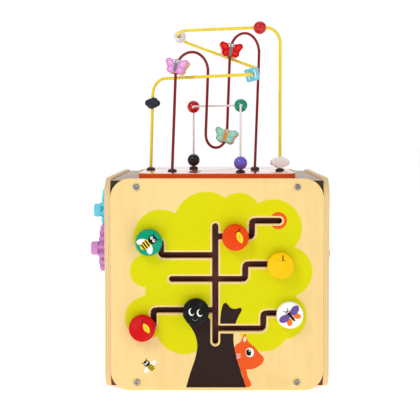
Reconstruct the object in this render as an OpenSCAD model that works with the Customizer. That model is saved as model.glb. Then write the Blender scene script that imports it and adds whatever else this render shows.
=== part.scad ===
// Wooden baby activity cube: five-sided play body with a sliding maze, gears,
// a toy clock, turning blocks and a bead maze on top.
// X to the right, Y to the rear, Z up; the origin is on the floor under the body's centre.

/* [Cube body] */
// Width of the front and rear panels
panel_w = 300; // [250:1:360]
// Height of all four panels
panel_h = 300; // [250:1:360]
// Depth over the front and rear panels
body_d = 300; // [250:1:360]
// Thickness of the plywood panels
panel_t = 8; // [6:0.1:12]
// Corner radius of the panels
corner_r = 28; // [10:1:40]
// Thickness of the top board
top_t = 15; // [10:0.5:22]
// Drop of the top board below the panel edges
top_drop = 3; // [1:0.5:12]
// Thickness of the base board
base_t = 15; // [10:0.5:22]
// Height of the base board above the floor
base_lift = 5; // [2:0.5:15]

/* [Panel screws] */
// Distance of the screws from the panels' side edges
screw_side = 37; // [20:1:60]
// Diameter of the screw heads
screw_head_d = 8.8; // [6:0.1:12]
// Height of the screw heads
screw_head_h = 2; // [1:0.1:4]
// Diameter of the screw shanks
screw_d = 4; // [3:0.1:5]
// Depth of the screws in the boards
screw_grip = 22; // [12:1:40]

/* [Sliding maze] */
// Width of the slots
slot_w = 8.6; // [7:0.1:14]
// Diameter of the sliding stems
stem_d = 7.8; // [5:0.1:12]
// Diameter of the retaining discs behind the panel
retainer_d = 20; // [16:0.5:24]
// Thickness of the retaining discs
retainer_t = 3; // [2:0.5:5]
// Diameter of the sliding knobs
knob_d = 37; // [28:0.5:42]
// Thickness of the sliding knobs
knob_t = 11; // [8:0.5:16]
// Length of the boss behind each knob
boss_l = 3.5; // [2:0.5:6]
// Depth of the closed space behind the slots
maze_depth = 9; // [6:0.5:16]
// Thickness of the board that closes the maze
back_t = 4; // [3:0.5:8]

/* [Bead maze] */
// Width of the square plate under the wires
plate_w = 230; // [190:1:240]
// Thickness of the plate
plate_t = 8; // [6:0.1:12]
// Corner radius of the plate
plate_r = 28; // [10:1:40]
// Diameter of the yellow wire
yellow_d = 4.8; // [3.5:0.1:6]
// Diameter of the dark red wire
red_d = 4.4; // [3.5:0.1:6]
// Diameter of the white wire
white_d = 3.2; // [2.5:0.1:5]
// Diameter of the caps at the wire ends
cap_d = 14; // [10:0.5:20]
// Height of the caps
cap_h = 3.6; // [2.5:0.1:6]
// Diameter of the round beads
ball_d = 20; // [16:0.5:24]
// Edge of the cube bead
cube_bead = 19.5; // [14:0.5:20]
// Thickness of the shaped beads
bead_t = 12; // [11:0.5:16]
// Radial clearance of the beads on their wires
bead_gap = 0.9; // [0.5:0.1:1.5]

/* [Gears] */
// Gear module
gear_m = 4; // [3:0.1:5]
// Teeth of the two equal gears
teeth_big = 16; // [12:1:18]
// Teeth of the small gear
teeth_small = 14; // [12:1:18]
// Thickness of the gears
gear_t = 12; // [8:0.5:18]
// Length of the spacers behind the gears
spacer_l = 8; // [4:0.5:14]
// Diameter of the gear axles
axle_d = 8; // [6:0.5:10]
// Play between the teeth of two gears
backlash = 0.8; // [0.4:0.1:1.5]
// Distance of the crank knobs from the gear axles
crank_r = 22; // [18:0.5:26]
// Diameter of the crank knobs
crank_d = 20.5; // [14:0.5:24]
// Length of the crank knobs
crank_l = 12; // [8:0.5:20]
// Distance of the small gear's crank knob from its axle
crank_small_r = 18; // [15:0.5:20]
// Diameter of the small gear's crank knob
crank_small_d = 15; // [10:0.5:16]

/* [Clock] */
// Length of the minute hand
minute_l = 56; // [50:1:75]
// Length of the hour hand
hour_l = 36; // [25:1:45]
// Thickness of the hands
hand_t = 3; // [2:0.1:5]
// Diameter of the push knob on the minute hand
push_d = 13; // [10:0.5:18]
// Length of the push knob
push_l = 17; // [8:0.5:24]

/* [Turning blocks] */
// Edge of the turning blocks
block = 54; // [45:0.5:65]
// Corner radius of the turning blocks
block_r = 4; // [2:0.5:8]
// Gap between neighbouring blocks
block_gap = 3; // [2:0.5:6]
// Diameter of the rod through the blocks
rod_d = 8; // [6:0.5:10]
// How far the blocks stand out of the rear panel
block_out = 12; // [6:0.5:18]

/* [Fits] */
// Radial running clearance on axles, stems and the rod
run_fit = 0.08; // [0.03:0.01:0.1]
// Radial clearance of fixed pins and screws in their holes
pin_fit = 0.1; // [0.05:0.01:0.2]
// Side clearance between moving faces
side_gap = 0.4; // [0.3:0.1:0.8]

/* [Hidden] */
$fn = 64;

// ---- derived body values
mid_z = panel_h / 2;
front_out = -body_d / 2;
front_in = front_out + panel_t;
rear_out = body_d / 2;
rear_in = rear_out - panel_t;
side_in = panel_w / 2;
side_out = side_in + panel_t;
top_up = panel_h - top_drop;
top_low = top_up - top_t;
base_up = base_lift + base_t;
screw_top_z = top_low + top_t / 2 - 1.5;
screw_base_z = base_lift + base_t / 2 - 0.5;
screw_x = panel_w / 2 - screw_side;
screw_y = body_d / 2 - screw_side;
recess_w = 1.1;
recess_l = 5;
recess_d = 1.2;
deck = top_up + plate_t;

// ---- colours
birch = [0.95, 0.83, 0.6];
natural = [0.84, 0.66, 0.44];
brown = [0.2, 0.1, 0.06];
grey_top = [0.8, 0.77, 0.72];
steel = [0.72, 0.73, 0.75];
orange_red = [0.92, 0.28, 0.06];
yellow = [0.96, 0.8, 0.1];
dark_red = [0.45, 0.02, 0.07];
white = [0.95, 0.95, 0.94];
black = [0.06, 0.06, 0.06];
teal = [0, 0.6, 0.46];
lilac = [0.8, 0.55, 0.82];
turquoise = [0.4, 0.8, 0.88];
dark_green = [0, 0.36, 0.3];
slate = [0.16, 0.2, 0.24];
purple = [0.36, 0.2, 0.68];
sky = [0.5, 0.78, 0.86];
red = [0.85, 0.02, 0.08];
lemon = [1, 0.8, 0];
mint = [0.55, 0.85, 0.78];

// ---- placing helpers: local z points to the front, to the rear, to the left or to the right
module to_front(y) { translate([0, y, 0]) rotate([90, 0, 0]) children(); }
module to_rear(y) { translate([0, y, 0]) rotate([90, 0, 180]) children(); }
module to_right(x) { translate([x, 0, 0]) rotate([90, 0, 90]) children(); }
module to_left(x) { translate([x, 0, 0]) rotate([90, 0, 90]) mirror([0, 0, 1]) children(); }
// a child drawn along z stands at p, leans by tilt towards the direction az, and faces yaw
module on_wire(p, tilt = 0, az = 0, yaw = 0) {
    translate(p) rotate([0, tilt, az]) rotate([0, 0, yaw - az]) children();
}

module rounded(w, h, r, t) {
    linear_extrude(t) union() {
        square([w - 2 * r, h], center = true);
        square([w, h - 2 * r], center = true);
        for (sx = [-1, 1]) for (sy = [-1, 1])
            translate([sx * (w / 2 - r), sy * (h / 2 - r)]) circle(r);
    }
}

// ---- sliding maze: slot centre lines, measured from the panel's centre
trunk_x = -2.4;
slot_trunk = [[trunk_x, 83], [trunk_x, -80]];
slot_upper_right = [[trunk_x, 68.6], [49, 68.6], [49, 90.6], [87.3, 90.6]];
slot_upper_left = [[trunk_x, 42.2], [-78.8, 42.2], [-78.8, 61.6], [-95, 61.6]];
slot_middle = [[-63.4, 8.4], [39.8, 8.4], [39.8, 29.4], [88.7, 29.4]];
slot_lower_left = [[trunk_x, -35.6], [-89.5, -35.6], [-89.5, -58.7], [-104.5, -58.7]];
slot_lower_right = [[trunk_x, -61.7], [65.2, -61.7], [65.2, -40.1], [101.7, -40.1]];
slots = [slot_trunk, slot_upper_right, slot_upper_left, slot_middle, slot_lower_left,
    slot_lower_right];
slot_reach_x = max([for (s = slots) for (p = s) abs(p[0])]);
slot_high = max([for (s = slots) for (p = s) p[1]]);
slot_low = min([for (s = slots) for (p = s) p[1]]);
rim = 4;
rim_gap = 1.5;
back_x = slot_reach_x + retainer_d / 2 + rim_gap;
back_up = slot_high + retainer_d / 2 + rim_gap;
back_down = slot_low - retainer_d / 2 - rim_gap;

// ---- knob rest places, each on its own slot
at_teal = slot_upper_left[3];
at_orange = slot_upper_right[1] - [23.4, 0];
at_yellow = slot_middle[3];
at_red = slot_lower_left[3];
at_black = slot_lower_left[0] - [27, 0];
at_white = slot_lower_right[3];

// one straight piece of slot as a closed outline: a free end is round, an end at an elbow is
// square and stops where the elbow begins
function slot_end(p, t, r, round) = round
    ? [for (i = [0:10]) p + r * [cos(t - 90 + 18 * i), sin(t - 90 + 18 * i)]]
    : [p - (r - 0.2) * [cos(t), sin(t)] + r * [cos(t - 90), sin(t - 90)],
        p - (r - 0.2) * [cos(t), sin(t)] + r * [cos(t + 90), sin(t + 90)]];
function slot_outline(a, b, r, round_a, round_b) = let (t = atan2(b[1] - a[1], b[0] - a[0]))
    concat(slot_end(b, t, r, round_b), slot_end(a, t + 180, r, round_a));
// elbow at b: a quarter disc about the inner corner
function elbow_outline(a, b, c, r) = let (u = unit(a - b), v = unit(c - b), m = b + r * (u + v))
    concat([m], [for (i = [0:12]) m - 2 * r * (cos(7.5 * i) * v + sin(7.5 * i) * u)]);

module slot_cut(outline) {
    translate([0, 0, mid_z]) to_front(front_in + 1) linear_extrude(panel_t + 2) polygon(outline);
}
module slot_cuts() {
    for (s = slots) {
        last = len(s) - 1;
        for (i = [0:last - 1])
            slot_cut(slot_outline(s[i], s[i + 1], slot_w / 2, i == 0, i == last - 1));
        if (last > 1) for (i = [1:last - 1])
            slot_cut(elbow_outline(s[i - 1], s[i], s[i + 1], slot_w / 2));
    }
}

// ---- screws: shank inwards, head outwards with a cross recess
module screw_hole() { cylinder(r = screw_d / 2 + pin_fit, h = 2 * (screw_grip + panel_t), center = true); }
module screw() {
    difference() {
        union() {
            translate([0, 0, -screw_grip - panel_t]) cylinder(d = screw_d, h = screw_grip + panel_t + 1);
            cylinder(d = screw_head_d, h = screw_head_h);
        }
        for (a = [0, 90]) rotate([0, 0, a])
            translate([-recess_l / 2, -recess_w / 2, screw_head_h - recess_d])
                cube([recess_l, recess_w, recess_d + 1]);
    }
}
module at_front_screws() {
    for (x = [-1, 1]) for (z = [screw_base_z, screw_top_z]) {
        translate([x * screw_x, 0, z]) to_front(front_out) children();
        translate([x * screw_x, 0, z]) to_rear(rear_out) children();
    }
}
module at_side_screws() {
    for (y = [-1, 1]) for (z = [screw_base_z, screw_top_z]) {
        translate([0, y * screw_y, z]) to_left(-side_out) children();
        translate([0, y * screw_y, z]) to_right(side_out) children();
    }
}
plate_screw_at = plate_w / 2 - 22;
module at_plate_screws() {
    for (x = [-1, 1]) for (y = [-1, 1])
        translate([x * plate_screw_at, y * plate_screw_at, top_low]) children();
}
plate_screw_d = 3.5;
plate_screw_grip = plate_t / 2;

// ---- wires: every path is a list of points; h is the height over the plate
wire_foot = plate_t - 0.1;
function unit(v) = v / norm(v);
function tangent_at(p, i) = i == 0 ? unit(p[1] - p[0])
    : i == len(p) - 1 ? unit(p[i] - p[i - 1])
    : unit(unit(p[i + 1] - p[i]) + unit(p[i] - p[i - 1]));
function next_normal(p, i, n) = let (t = tangent_at(p, i)) unit(n - (n * t) * t);
function normals(p, i, done) = i == len(p) ? done
    : normals(p, i + 1, concat(done, [next_normal(p, i, done[i - 1])]));
// round corner at b between a and c, as points of an arc of radius r
function bend(a, b, c, r, n) = let (u = unit(a - b), v = unit(c - b), q = acos(u * v),
        s = b + u * r / tan(q / 2), e = b + v * r / tan(q / 2),
        m = b + unit(u + v) * r / sin(q / 2), w = 180 - q)
    [for (i = [0:n]) m + (sin(w * (1 - i / n)) * (s - m) + sin(w * i / n) * (e - m)) / sin(w)];
// polyline with round corners; k holds [point, radius, steps]
function bent_path(k) = [for (i = [0:len(k) - 1])
    each (k[i][1] == 0 ? [k[i][0]] : bend(k[i - 1][0], k[i][0], k[i + 1][0], k[i][1], k[i][2]))];

sides = 12;
module tube(p, d) {
    n = len(p);
    nn = normals(p, 1, [next_normal(p, 0, [0.31, 0.9, 0.2])]);
    points = [for (i = [0:n - 1]) let (t = tangent_at(p, i), b = cross(t, nn[i]))
        for (k = [0:sides - 1])
            p[i] + d / 2 * (cos(360 * k / sides) * nn[i] + sin(360 * k / sides) * b)];
    wall = [for (i = [0:n - 2]) for (k = [0:sides - 1])
        let (a = i * sides + k, b = i * sides + (k + 1) % sides)
            each [[a, a + sides, b + sides], [a, b + sides, b]]];
    polyhedron(points, concat([[for (k = [0:sides - 1]) k]],
        [[for (k = [sides - 1:-1:0]) (n - 1) * sides + k]], wall), convexity = 8);
}
function up(x, y, h) = [x, y, deck + h];

// yellow wire: left foot, right turn, left turn, right foot
yellow_left = [-105, 16];
yellow_right = [97, -25];
lead = cap_h + 1;
leg_left_top = up(-101, 16, 143);
turn_r1 = up(50, -88, 144);
turn_r2 = up(54, -50, 146.5);
turn_r3 = up(63, -6, 158);
turn_l1 = up(-55, 86, 208.5);
turn_l2 = up(-66, 4, 217.5);
leg_right_top = up(yellow_right[0], yellow_right[1], 221);
yellow_path = bent_path([
    [up(yellow_left[0], yellow_left[1], -wire_foot), 0],
    [up(yellow_left[0], yellow_left[1], lead), 0],
    [leg_left_top, 25, 8],
    [turn_r1, 8, 8],
    [turn_r2, 8, 3],
    [turn_r3, 9, 7],
    [turn_l1, 9, 8],
    [turn_l2, 30, 10],
    [leg_right_top, 25, 8],
    [up(yellow_right[0], yellow_right[1], -wire_foot), 0]]);

// dark red wire: one plane through two feet, leaning slightly; u runs along the plane
red_left = [-68, -43];
red_right = [61, 33];
red_dir = unit(red_right - red_left);
red_az = atan2(red_dir[1], red_dir[0]);
red_len = norm(red_right - red_left);
red_lean = 0.042;
leg_2 = 56.5;
leg_3 = 95;
arch_1_foot = 152;
arch_1_rise = 30;
u_top = 57;
u_drop = 22;
arch_2_foot = 184;
arch_2_rise = 32;
function in_plane(u, h) = let (s = u + red_lean * max(0, h - lead))
    up(red_left[0] + s * red_dir[0], red_left[1] + s * red_dir[1], h);
function arch(u0, u1, h, rise, n) = [for (i = [0:n]) let (a = 180 - 180 * i / n)
    in_plane((u0 + u1) / 2 + (u1 - u0) / 2 * cos(a), h + rise * sin(a))];
red_path = concat(
    [in_plane(0, -wire_foot), in_plane(0, lead)],
    arch(0, leg_2, arch_1_foot, arch_1_rise, 16),
    arch(leg_2, leg_3, u_top, -u_drop, 14),
    arch(leg_3, red_len, arch_2_foot, arch_2_rise, 16),
    [in_plane(red_len, lead), in_plane(red_len, -wire_foot)]);

// white wire
white_left = [-38, 50];
white_right = [35, -72];
white_h = 100;
white_b = up(-37.4, 19, white_h);
white_c = up(36.5, -40, white_h);
white_path = bent_path([
    [up(white_left[0], white_left[1], -wire_foot), 0],
    [up(white_left[0], white_left[1], white_h), 6, 5],
    [white_b, 6, 4],
    [white_c, 6, 4],
    [up(white_right[0], white_right[1], white_h), 6, 5],
    [up(white_right[0], white_right[1], -wire_foot), 0]]);

module at_feet(which) {
    feet = which == "yellow" ? [yellow_left, yellow_right]
        : which == "red" ? [red_left, red_right] : [white_left, white_right];
    for (f = feet) translate([f[0], f[1], 0]) children();
}
wire_kinds = [["yellow", yellow_d], ["red", red_d], ["white", white_d]];

// ---- bead places
bore_yellow = yellow_d / 2 + bead_gap;
bore_red = red_d / 2 + bead_gap + 0.6;
bore_white = white_d / 2 + bead_gap;
sag = bead_gap - side_gap;
left_lean = leg_left_top - up(yellow_left[0], yellow_left[1], lead);
slate_h = 105;
slate_at = up(yellow_left[0], yellow_left[1], lead) + left_lean * (slate_h - lead) / left_lean[2];
slate_tilt = atan2(left_lean[0], left_lean[2]);
cloud_h = 18;
white_cloud_at = up(yellow_right[0], yellow_right[1], cap_h + side_gap + cloud_h / 2);
function ball_seat(bore) = cap_h + side_gap + sqrt(pow(ball_d / 2, 2) - pow(bore, 2));
black_at = up(white_left[0], white_left[1], ball_seat(bore_white));
purple_at = up(white_right[0], white_right[1], ball_seat(bore_white));
// direction of a piece of wire, as a lean from the vertical and an azimuth
function lean_of(v) = acos(unit(v)[2]);
function az_of(v) = atan2(v[1], v[0]);
run_3 = leg_right_top - turn_l2;
high_ball_at = turn_l2 + run_3 * (66 - turn_l2[0]) / run_3[0] - [0, 0, sag];
seg_cube = turn_r2 - turn_r1;
cube_at = turn_r1 + seg_cube * 0.62 - [0, 0, sag];
seg_ball = turn_l2 - turn_l1;
white_ball_at = turn_l1 + seg_ball * 0.463 - [0, 0, sag];
seg_low = white_b - up(white_left[0], white_left[1], white_h);
low_red_at = up(white_left[0], white_left[1], white_h) + seg_low * 0.53 - [0, 0, sag];
seg_green = up(white_right[0], white_right[1], white_h) - white_c;
green_at = white_c + seg_green * 0.46 - [0, 0, sag];
// butterflies sit on the curved parts of the dark red wire
fly_h = 23;
pink_tilt = 14;
pink_at = in_plane(2.0, 158.5);
fly_red_tilt = 8;
fly_red_at = in_plane(leg_3 + 0.9, 188);
mint_tilt = 17;
mint_at = in_plane(leg_3 - 1.6, 53);

module ball(bore) {
    difference() {
        sphere(d = ball_d);
        cylinder(r = bore, h = 2 * ball_d, center = true);
    }
}
// cloud outline of four overlapping circles and a square middle
module cloud(w, bore) {
    difference() {
        rotate([90, 0, 0]) translate([0, 0, -bead_t / 2]) linear_extrude(bead_t) union() {
            square([w * 0.5, cloud_h * 0.8], center = true);
            for (s = [-1, 1]) {
                translate([s * (w / 2 - 5.5), 0]) circle(5.5);
                translate([s * 1.6, s * (cloud_h / 2 - 6.2)]) circle(6.2);
            }
        }
        cylinder(r = bore, h = 3 * cloud_h, center = true);
    }
}
module butterfly(bore) {
    difference() {
        rotate([90, 0, 0]) translate([0, 0, -bead_t / 2]) linear_extrude(bead_t) union() {
            square([10, fly_h - 2], center = true);
            for (s = [-1, 1]) {
                translate([s * 9.4, 3.4]) circle(6.8);
                translate([s * 13.6, 6.7]) circle(4.8);
                translate([s * 7.6, -5]) circle(6.5);
            }
        }
        cylinder(r = bore, h = 3 * fly_h, center = true);
    }
}

// ---- gears on the left panel; places are [y, z] from the panel's centre
pressure = 25;
addendum = 0.9;
dedendum = 1.15;
lilac_c = [-33, 37];
mesh_1 = 57.8;
mesh_2 = -8.7;
turq_c = lilac_c + gear_m * teeth_big * [cos(mesh_1), sin(mesh_1)];
green_c = turq_c + gear_m * (teeth_big + teeth_small) / 2 * [cos(mesh_2), sin(mesh_2)];
gear_places = [lilac_c, turq_c, green_c];
phase_lilac = mesh_1;
phase_turq = mesh_1 + 180 + 180 / teeth_big;
phase_green = mesh_2 + 180 + 180 / teeth_small - (phase_turq - mesh_2) * teeth_big / teeth_small;
function inv_deg(a) = tan(a) * 180 / PI - a;
function half_tooth(rho, n) = let (r = gear_m * n / 2)
    90 / n - backlash / 4 / r * 180 / PI + inv_deg(pressure)
    - inv_deg(acos(min(1, r * cos(pressure) / rho)));
function gear_outline(n) = let (r = gear_m * n / 2, rb = r * cos(pressure),
        ra = r + addendum * gear_m, rf = r - dedendum * gear_m, low = max(rb, rf),
        f = [for (i = [0:4]) let (q = low + (ra - low) * i / 4) [q, half_tooth(q, n)]])
    [for (k = [0:n - 1]) let (c = 360 * k / n) each concat(
        [rf * [cos(c - f[0][1] - 0.6), sin(c - f[0][1] - 0.6)]],
        [for (i = [0:4]) f[i][0] * [cos(c - f[i][1]), sin(c - f[i][1])]],
        [for (i = [4:-1:0]) f[i][0] * [cos(c + f[i][1]), sin(c + f[i][1])]],
        [rf * [cos(c + f[0][1] + 0.6), sin(c + f[0][1] + 0.6)]])];
gear_in = -side_out - spacer_l;
gear_out = gear_in - gear_t;
axle_head_d = 16;
axle_head_t = 3;
hub_d = 18;
face_cut = 1.5;
module gear(n, c, phase) {
    translate([0, c[0], mid_z + c[1]]) to_left(gear_in - side_gap) difference() {
        rotate([0, 0, phase]) linear_extrude(gear_t - side_gap) polygon(gear_outline(n));
        translate([0, 0, -1]) cylinder(r = axle_d / 2 + run_fit, h = gear_t + 2);
        // shallow ring in the outer face
        translate([0, 0, gear_t - side_gap - face_cut]) difference() {
            cylinder(r = gear_m * n / 2 - 1.15 * gear_m - 3.5, h = face_cut + 1);
            translate([0, 0, -1]) cylinder(d = hub_d, h = face_cut + 3);
        }
    }
}
// crank knobs stand on a small foot, clear of the teeth that pass beside them
foot_d = 12;
foot_h = 0.6;
crank_a_lilac = 174;
crank_a_turq = 174;
crank_a_green = 146;
module crank(c, r, a, d) {
    translate([0, c[0] + r * cos(a), mid_z + c[1] + r * sin(a)]) to_left(gear_out) union() {
        cylinder(d = foot_d, h = foot_h + 1);
        translate([0, 0, foot_h]) cylinder(d = d, h = crank_l - foot_h);
    }
}

// ---- clock on the right panel
clock_c = [0, 0];
washer_t = 2;
washer_d = 22;
hour_in = side_out + washer_t + side_gap;
minute_in = hour_in + hand_t + side_gap;
clock_cap_in = minute_in + hand_t + side_gap;
clock_cap_t = 3;
minute_a = 22;
hour_a = 144;
push_r = 45.3;
hand_w = 11;
module hand(l, a) {
    rotate([0, 0, a]) difference() {
        linear_extrude(hand_t) union() {
            circle(9);
            polygon([[0, -hand_w * 0.32], [l - 20, -hand_w * 0.5], [l - 20, -hand_w * 0.95],
                [l, 0], [l - 20, hand_w * 0.95], [l - 20, hand_w * 0.5], [0, hand_w * 0.32]]);
        }
        translate([0, 0, -1]) cylinder(r = axle_d / 2 + run_fit, h = hand_t + 2);
    }
}

// ---- turning blocks in the rear window
block_y = rear_out + block_out - block / 2;
block_reach = (block / 2 - block_r) * sqrt(2) + block_r;
window_h = 2 * block_reach + 7;
window_w = 3 * block + 2 * block_gap + 2 * 6;
bracket_w = 14;
bracket_h = 44;
bracket_depth = rear_in - block_y + rod_d / 2 + 10;
rod_end = window_w / 2 + bracket_w - 1;
module turning_block(i) {
    translate([i * (block + block_gap), block_y, mid_z])
        translate([-block / 2, 0, 0]) to_right(0) difference() {
            rounded(block, block, block_r, block);
            translate([0, 0, -1]) cylinder(r = rod_d / 2 + run_fit, h = block + 2);
        }
}

// ---- sliding knobs
knob_in = front_out - side_gap;
knob_face = knob_in - boss_l - knob_t;
stem_in_knob = boss_l + knob_t - 4;
module at_knob(p) { translate([p[0], 0, mid_z + p[1]]) children(); }
module knob(p) {
    at_knob(p) to_front(knob_in) difference() {
        union() {
            cylinder(d = 16, h = boss_l + 1);
            translate([0, 0, boss_l]) cylinder(d = knob_d, h = knob_t);
        }
        translate([0, 0, -1]) cylinder(r = stem_d / 2 + run_fit, h = stem_in_knob + 1 + side_gap);
    }
}
module carrier(p) {
    at_knob(p) to_front(front_in + side_gap + retainer_t) union() {
        cylinder(d = retainer_d, h = retainer_t);
        cylinder(d = stem_d, h = retainer_t + side_gap + panel_t + side_gap + stem_in_knob);
    }
}

// ==== sub-parts
module front_panel() {
    color(birch) difference() {
        translate([0, 0, mid_z]) to_front(front_in) rounded(panel_w, panel_h, corner_r, panel_t);
        slot_cuts();
        at_front_screws() screw_hole();
    }
}
module rear_panel() {
    color(birch) difference() {
        translate([0, 0, mid_z]) to_rear(rear_in) rounded(panel_w, panel_h, corner_r, panel_t);
        translate([-window_w / 2, rear_in - 1, mid_z - window_h / 2])
            cube([window_w, panel_t + 2, window_h]);
        at_front_screws() screw_hole();
    }
}
module side_panel() { rounded(body_d, panel_h, corner_r, panel_t); }
module left_panel() {
    color(birch) difference() {
        translate([0, 0, mid_z]) to_left(-side_in) side_panel();
        at_side_screws() screw_hole();
        for (c = gear_places) translate([0, c[0], mid_z + c[1]]) to_left(-side_in + 1)
            cylinder(r = axle_d / 2 + pin_fit, h = panel_t + 2);
    }
}
module right_panel() {
    color(birch) difference() {
        translate([0, 0, mid_z]) to_right(side_in) side_panel();
        at_side_screws() screw_hole();
        translate([0, clock_c[0], mid_z + clock_c[1]]) to_right(side_in - 1)
            cylinder(r = axle_d / 2 + pin_fit, h = panel_t + 2);
    }
}
module board(z, t) {
    difference() {
        translate([-side_in, front_in, z]) cube([panel_w, rear_in - front_in, t]);
        at_front_screws() screw_hole();
        at_side_screws() screw_hole();
    }
}
module top_board() {
    color(grey_top) difference() {
        board(top_low, top_t);
        at_plate_screws() translate([0, 0, -1]) cylinder(r = plate_screw_d / 2 + pin_fit, h = top_t + 2);
    }
}
module base_board() { color(brown) board(base_lift, base_t); }
module panel_screws() {
    color(steel) union() {
        at_front_screws() screw();
        at_side_screws() screw();
    }
}
module maze_back_board() {
    color(brown) difference() {
        translate([-back_x - rim, front_in, mid_z + back_down - rim])
            cube([2 * (back_x + rim), maze_depth + back_t, back_up - back_down + 2 * rim]);
        translate([-back_x, front_in - 1, mid_z + back_down])
            cube([2 * back_x, maze_depth + 1, back_up - back_down]);
    }
}
module maze_plate() {
    color(orange_red) difference() {
        translate([0, 0, top_up]) rounded(plate_w, plate_w, plate_r, plate_t);
        for (k = wire_kinds) at_feet(k[0]) translate([0, 0, top_up - 1])
            cylinder(r = k[1] / 2 + pin_fit, h = plate_t + 2);
        at_plate_screws() translate([0, 0, top_t - 1])
            cylinder(r = plate_screw_d / 2 + pin_fit, h = plate_screw_grip + 1.2);
    }
}
module plate_screws() {
    color(steel) at_plate_screws() union() {
        cylinder(d = plate_screw_d, h = top_t + plate_screw_grip);
        translate([0, 0, -1.8]) cylinder(d = 7, h = 1.8);
    }
}
module wire_caps() {
    color(black) for (k = wire_kinds) at_feet(k[0]) translate([0, 0, deck]) rotate_extrude()
        polygon([[k[1] / 2 + pin_fit, 0], [cap_d / 2, 0], [cap_d / 2, cap_h * 0.35],
            [cap_d * 0.42, cap_h * 0.7], [cap_d * 0.32, cap_h * 0.92], [cap_d * 0.26, cap_h],
            [k[1] / 2 + pin_fit, cap_h]]);
}
module yellow_wire() { color(yellow) tube(yellow_path, yellow_d); }
module red_wire() { color(dark_red) tube(red_path, red_d); }
module white_wire() { color(white) tube(white_path, white_d); }

module gear_axles() {
    color(natural) for (c = gear_places) translate([0, c[0], mid_z + c[1]]) union() {
        to_left(-side_in + axle_head_t) cylinder(d = axle_d,
            h = axle_head_t + panel_t + spacer_l + gear_t + side_gap + axle_head_t);
        to_left(-side_in + axle_head_t) cylinder(d = axle_head_d, h = axle_head_t);
        to_left(gear_out - side_gap) cylinder(d = axle_head_d, h = axle_head_t);
    }
}
module gear_spacers() {
    color(natural) for (c = gear_places) translate([0, c[0], mid_z + c[1]]) to_left(-side_out)
        difference() {
            cylinder(d = 20, h = spacer_l);
            translate([0, 0, -1]) cylinder(r = axle_d / 2 + pin_fit, h = spacer_l + 2);
        }
}
module clock_axle() {
    color(natural) translate([0, clock_c[0], mid_z + clock_c[1]]) union() {
        to_right(side_in - axle_head_t) cylinder(d = axle_d, h = clock_cap_in - side_in + axle_head_t + 1);
        to_right(side_in - axle_head_t) cylinder(d = axle_head_d, h = axle_head_t);
        to_right(clock_cap_in) cylinder(d = axle_head_d, h = clock_cap_t);
    }
}
module clock_washer() {
    color(natural) translate([0, clock_c[0], mid_z + clock_c[1]]) to_right(side_out) difference() {
        cylinder(d = washer_d, h = washer_t);
        translate([0, 0, -1]) cylinder(r = axle_d / 2 + pin_fit, h = washer_t + 2);
    }
}
module block_rod() {
    color(natural) translate([-rod_end, block_y, mid_z]) to_right(0) cylinder(d = rod_d, h = 2 * rod_end);
}
module block_brackets() {
    color(natural) for (s = [-1, 1]) difference() {
        translate([s > 0 ? window_w / 2 : -window_w / 2 - bracket_w, rear_in - bracket_depth,
            mid_z - bracket_h / 2]) cube([bracket_w, bracket_depth, bracket_h]);
        translate([-rod_end, block_y, mid_z]) to_right(-1)
            cylinder(r = rod_d / 2 + pin_fit, h = 2 * rod_end + 1.6);
    }
}

module bead_slate_cloud() { color(slate) on_wire(slate_at, slate_tilt, 0, 6) cloud(24, bore_yellow); }
module bead_white_cloud() { color(white) on_wire(white_cloud_at, 0, 0, 8) cloud(29, bore_yellow); }
// a round bead threaded along the direction v
module threaded_ball(p, v, bore) { on_wire(p, lean_of(v), az_of(v)) ball(bore); }
module bead_red_ball_high() { color(red) threaded_ball(high_ball_at, run_3, bore_yellow); }
module bead_black_ball() { color(black) on_wire(black_at) ball(bore_white); }
module bead_purple_ball() { color(purple) on_wire(purple_at) ball(bore_white); }
module bead_white_ball() { color(white) threaded_ball(white_ball_at, seg_ball, bore_yellow); }
module bead_red_ball_low() { color(red) threaded_ball(low_red_at, seg_low, bore_white); }
module bead_green_ball() { color(teal) threaded_ball(green_at, seg_green, bore_white); }
module bead_blue_cube() {
    color(sky) on_wire(cube_at, lean_of(seg_cube), az_of(seg_cube), az_of(seg_cube) - 13) difference() {
        cube(cube_bead, center = true);
        cylinder(r = bore_yellow, h = 2 * cube_bead, center = true);
    }
}
module butterfly_pink() { color(lilac) on_wire(pink_at, pink_tilt, red_az, -18) butterfly(bore_red); }
module butterfly_red() { color(red) on_wire(fly_red_at, fly_red_tilt, red_az, 8) butterfly(bore_red); }
module butterfly_mint() { color(mint) on_wire(mint_at, mint_tilt, red_az, -14) butterfly(bore_red); }

module knob_teal() { color(teal) knob(at_teal); }
module knob_orange() { color(orange_red) knob(at_orange); }
module knob_yellow() { color(lemon) knob(at_yellow); }
module knob_red() { color(red) knob(at_red); }
module knob_black() { color(black) knob(at_black); }
module knob_white() { color(white) knob(at_white); }
module carrier_teal() { color(natural) carrier(at_teal); }
module carrier_orange() { color(natural) carrier(at_orange); }
module carrier_yellow() { color(natural) carrier(at_yellow); }
module carrier_red() { color(natural) carrier(at_red); }
module carrier_black() { color(natural) carrier(at_black); }
module carrier_white() { color(natural) carrier(at_white); }

module gear_lilac() { color(lilac) gear(teeth_big, lilac_c, phase_lilac); }
module gear_turquoise() { color(turquoise) gear(teeth_big, turq_c, phase_turq); }
module gear_green() { color(dark_green) gear(teeth_small, green_c, phase_green); }
module crank_lilac() { color(lilac) crank(lilac_c, crank_r, crank_a_lilac, crank_d); }
module crank_turquoise() { color(turquoise) crank(turq_c, crank_r, crank_a_turq, crank_d); }
module crank_green() { color(dark_green) crank(green_c, crank_small_r, crank_a_green, crank_small_d); }

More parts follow.
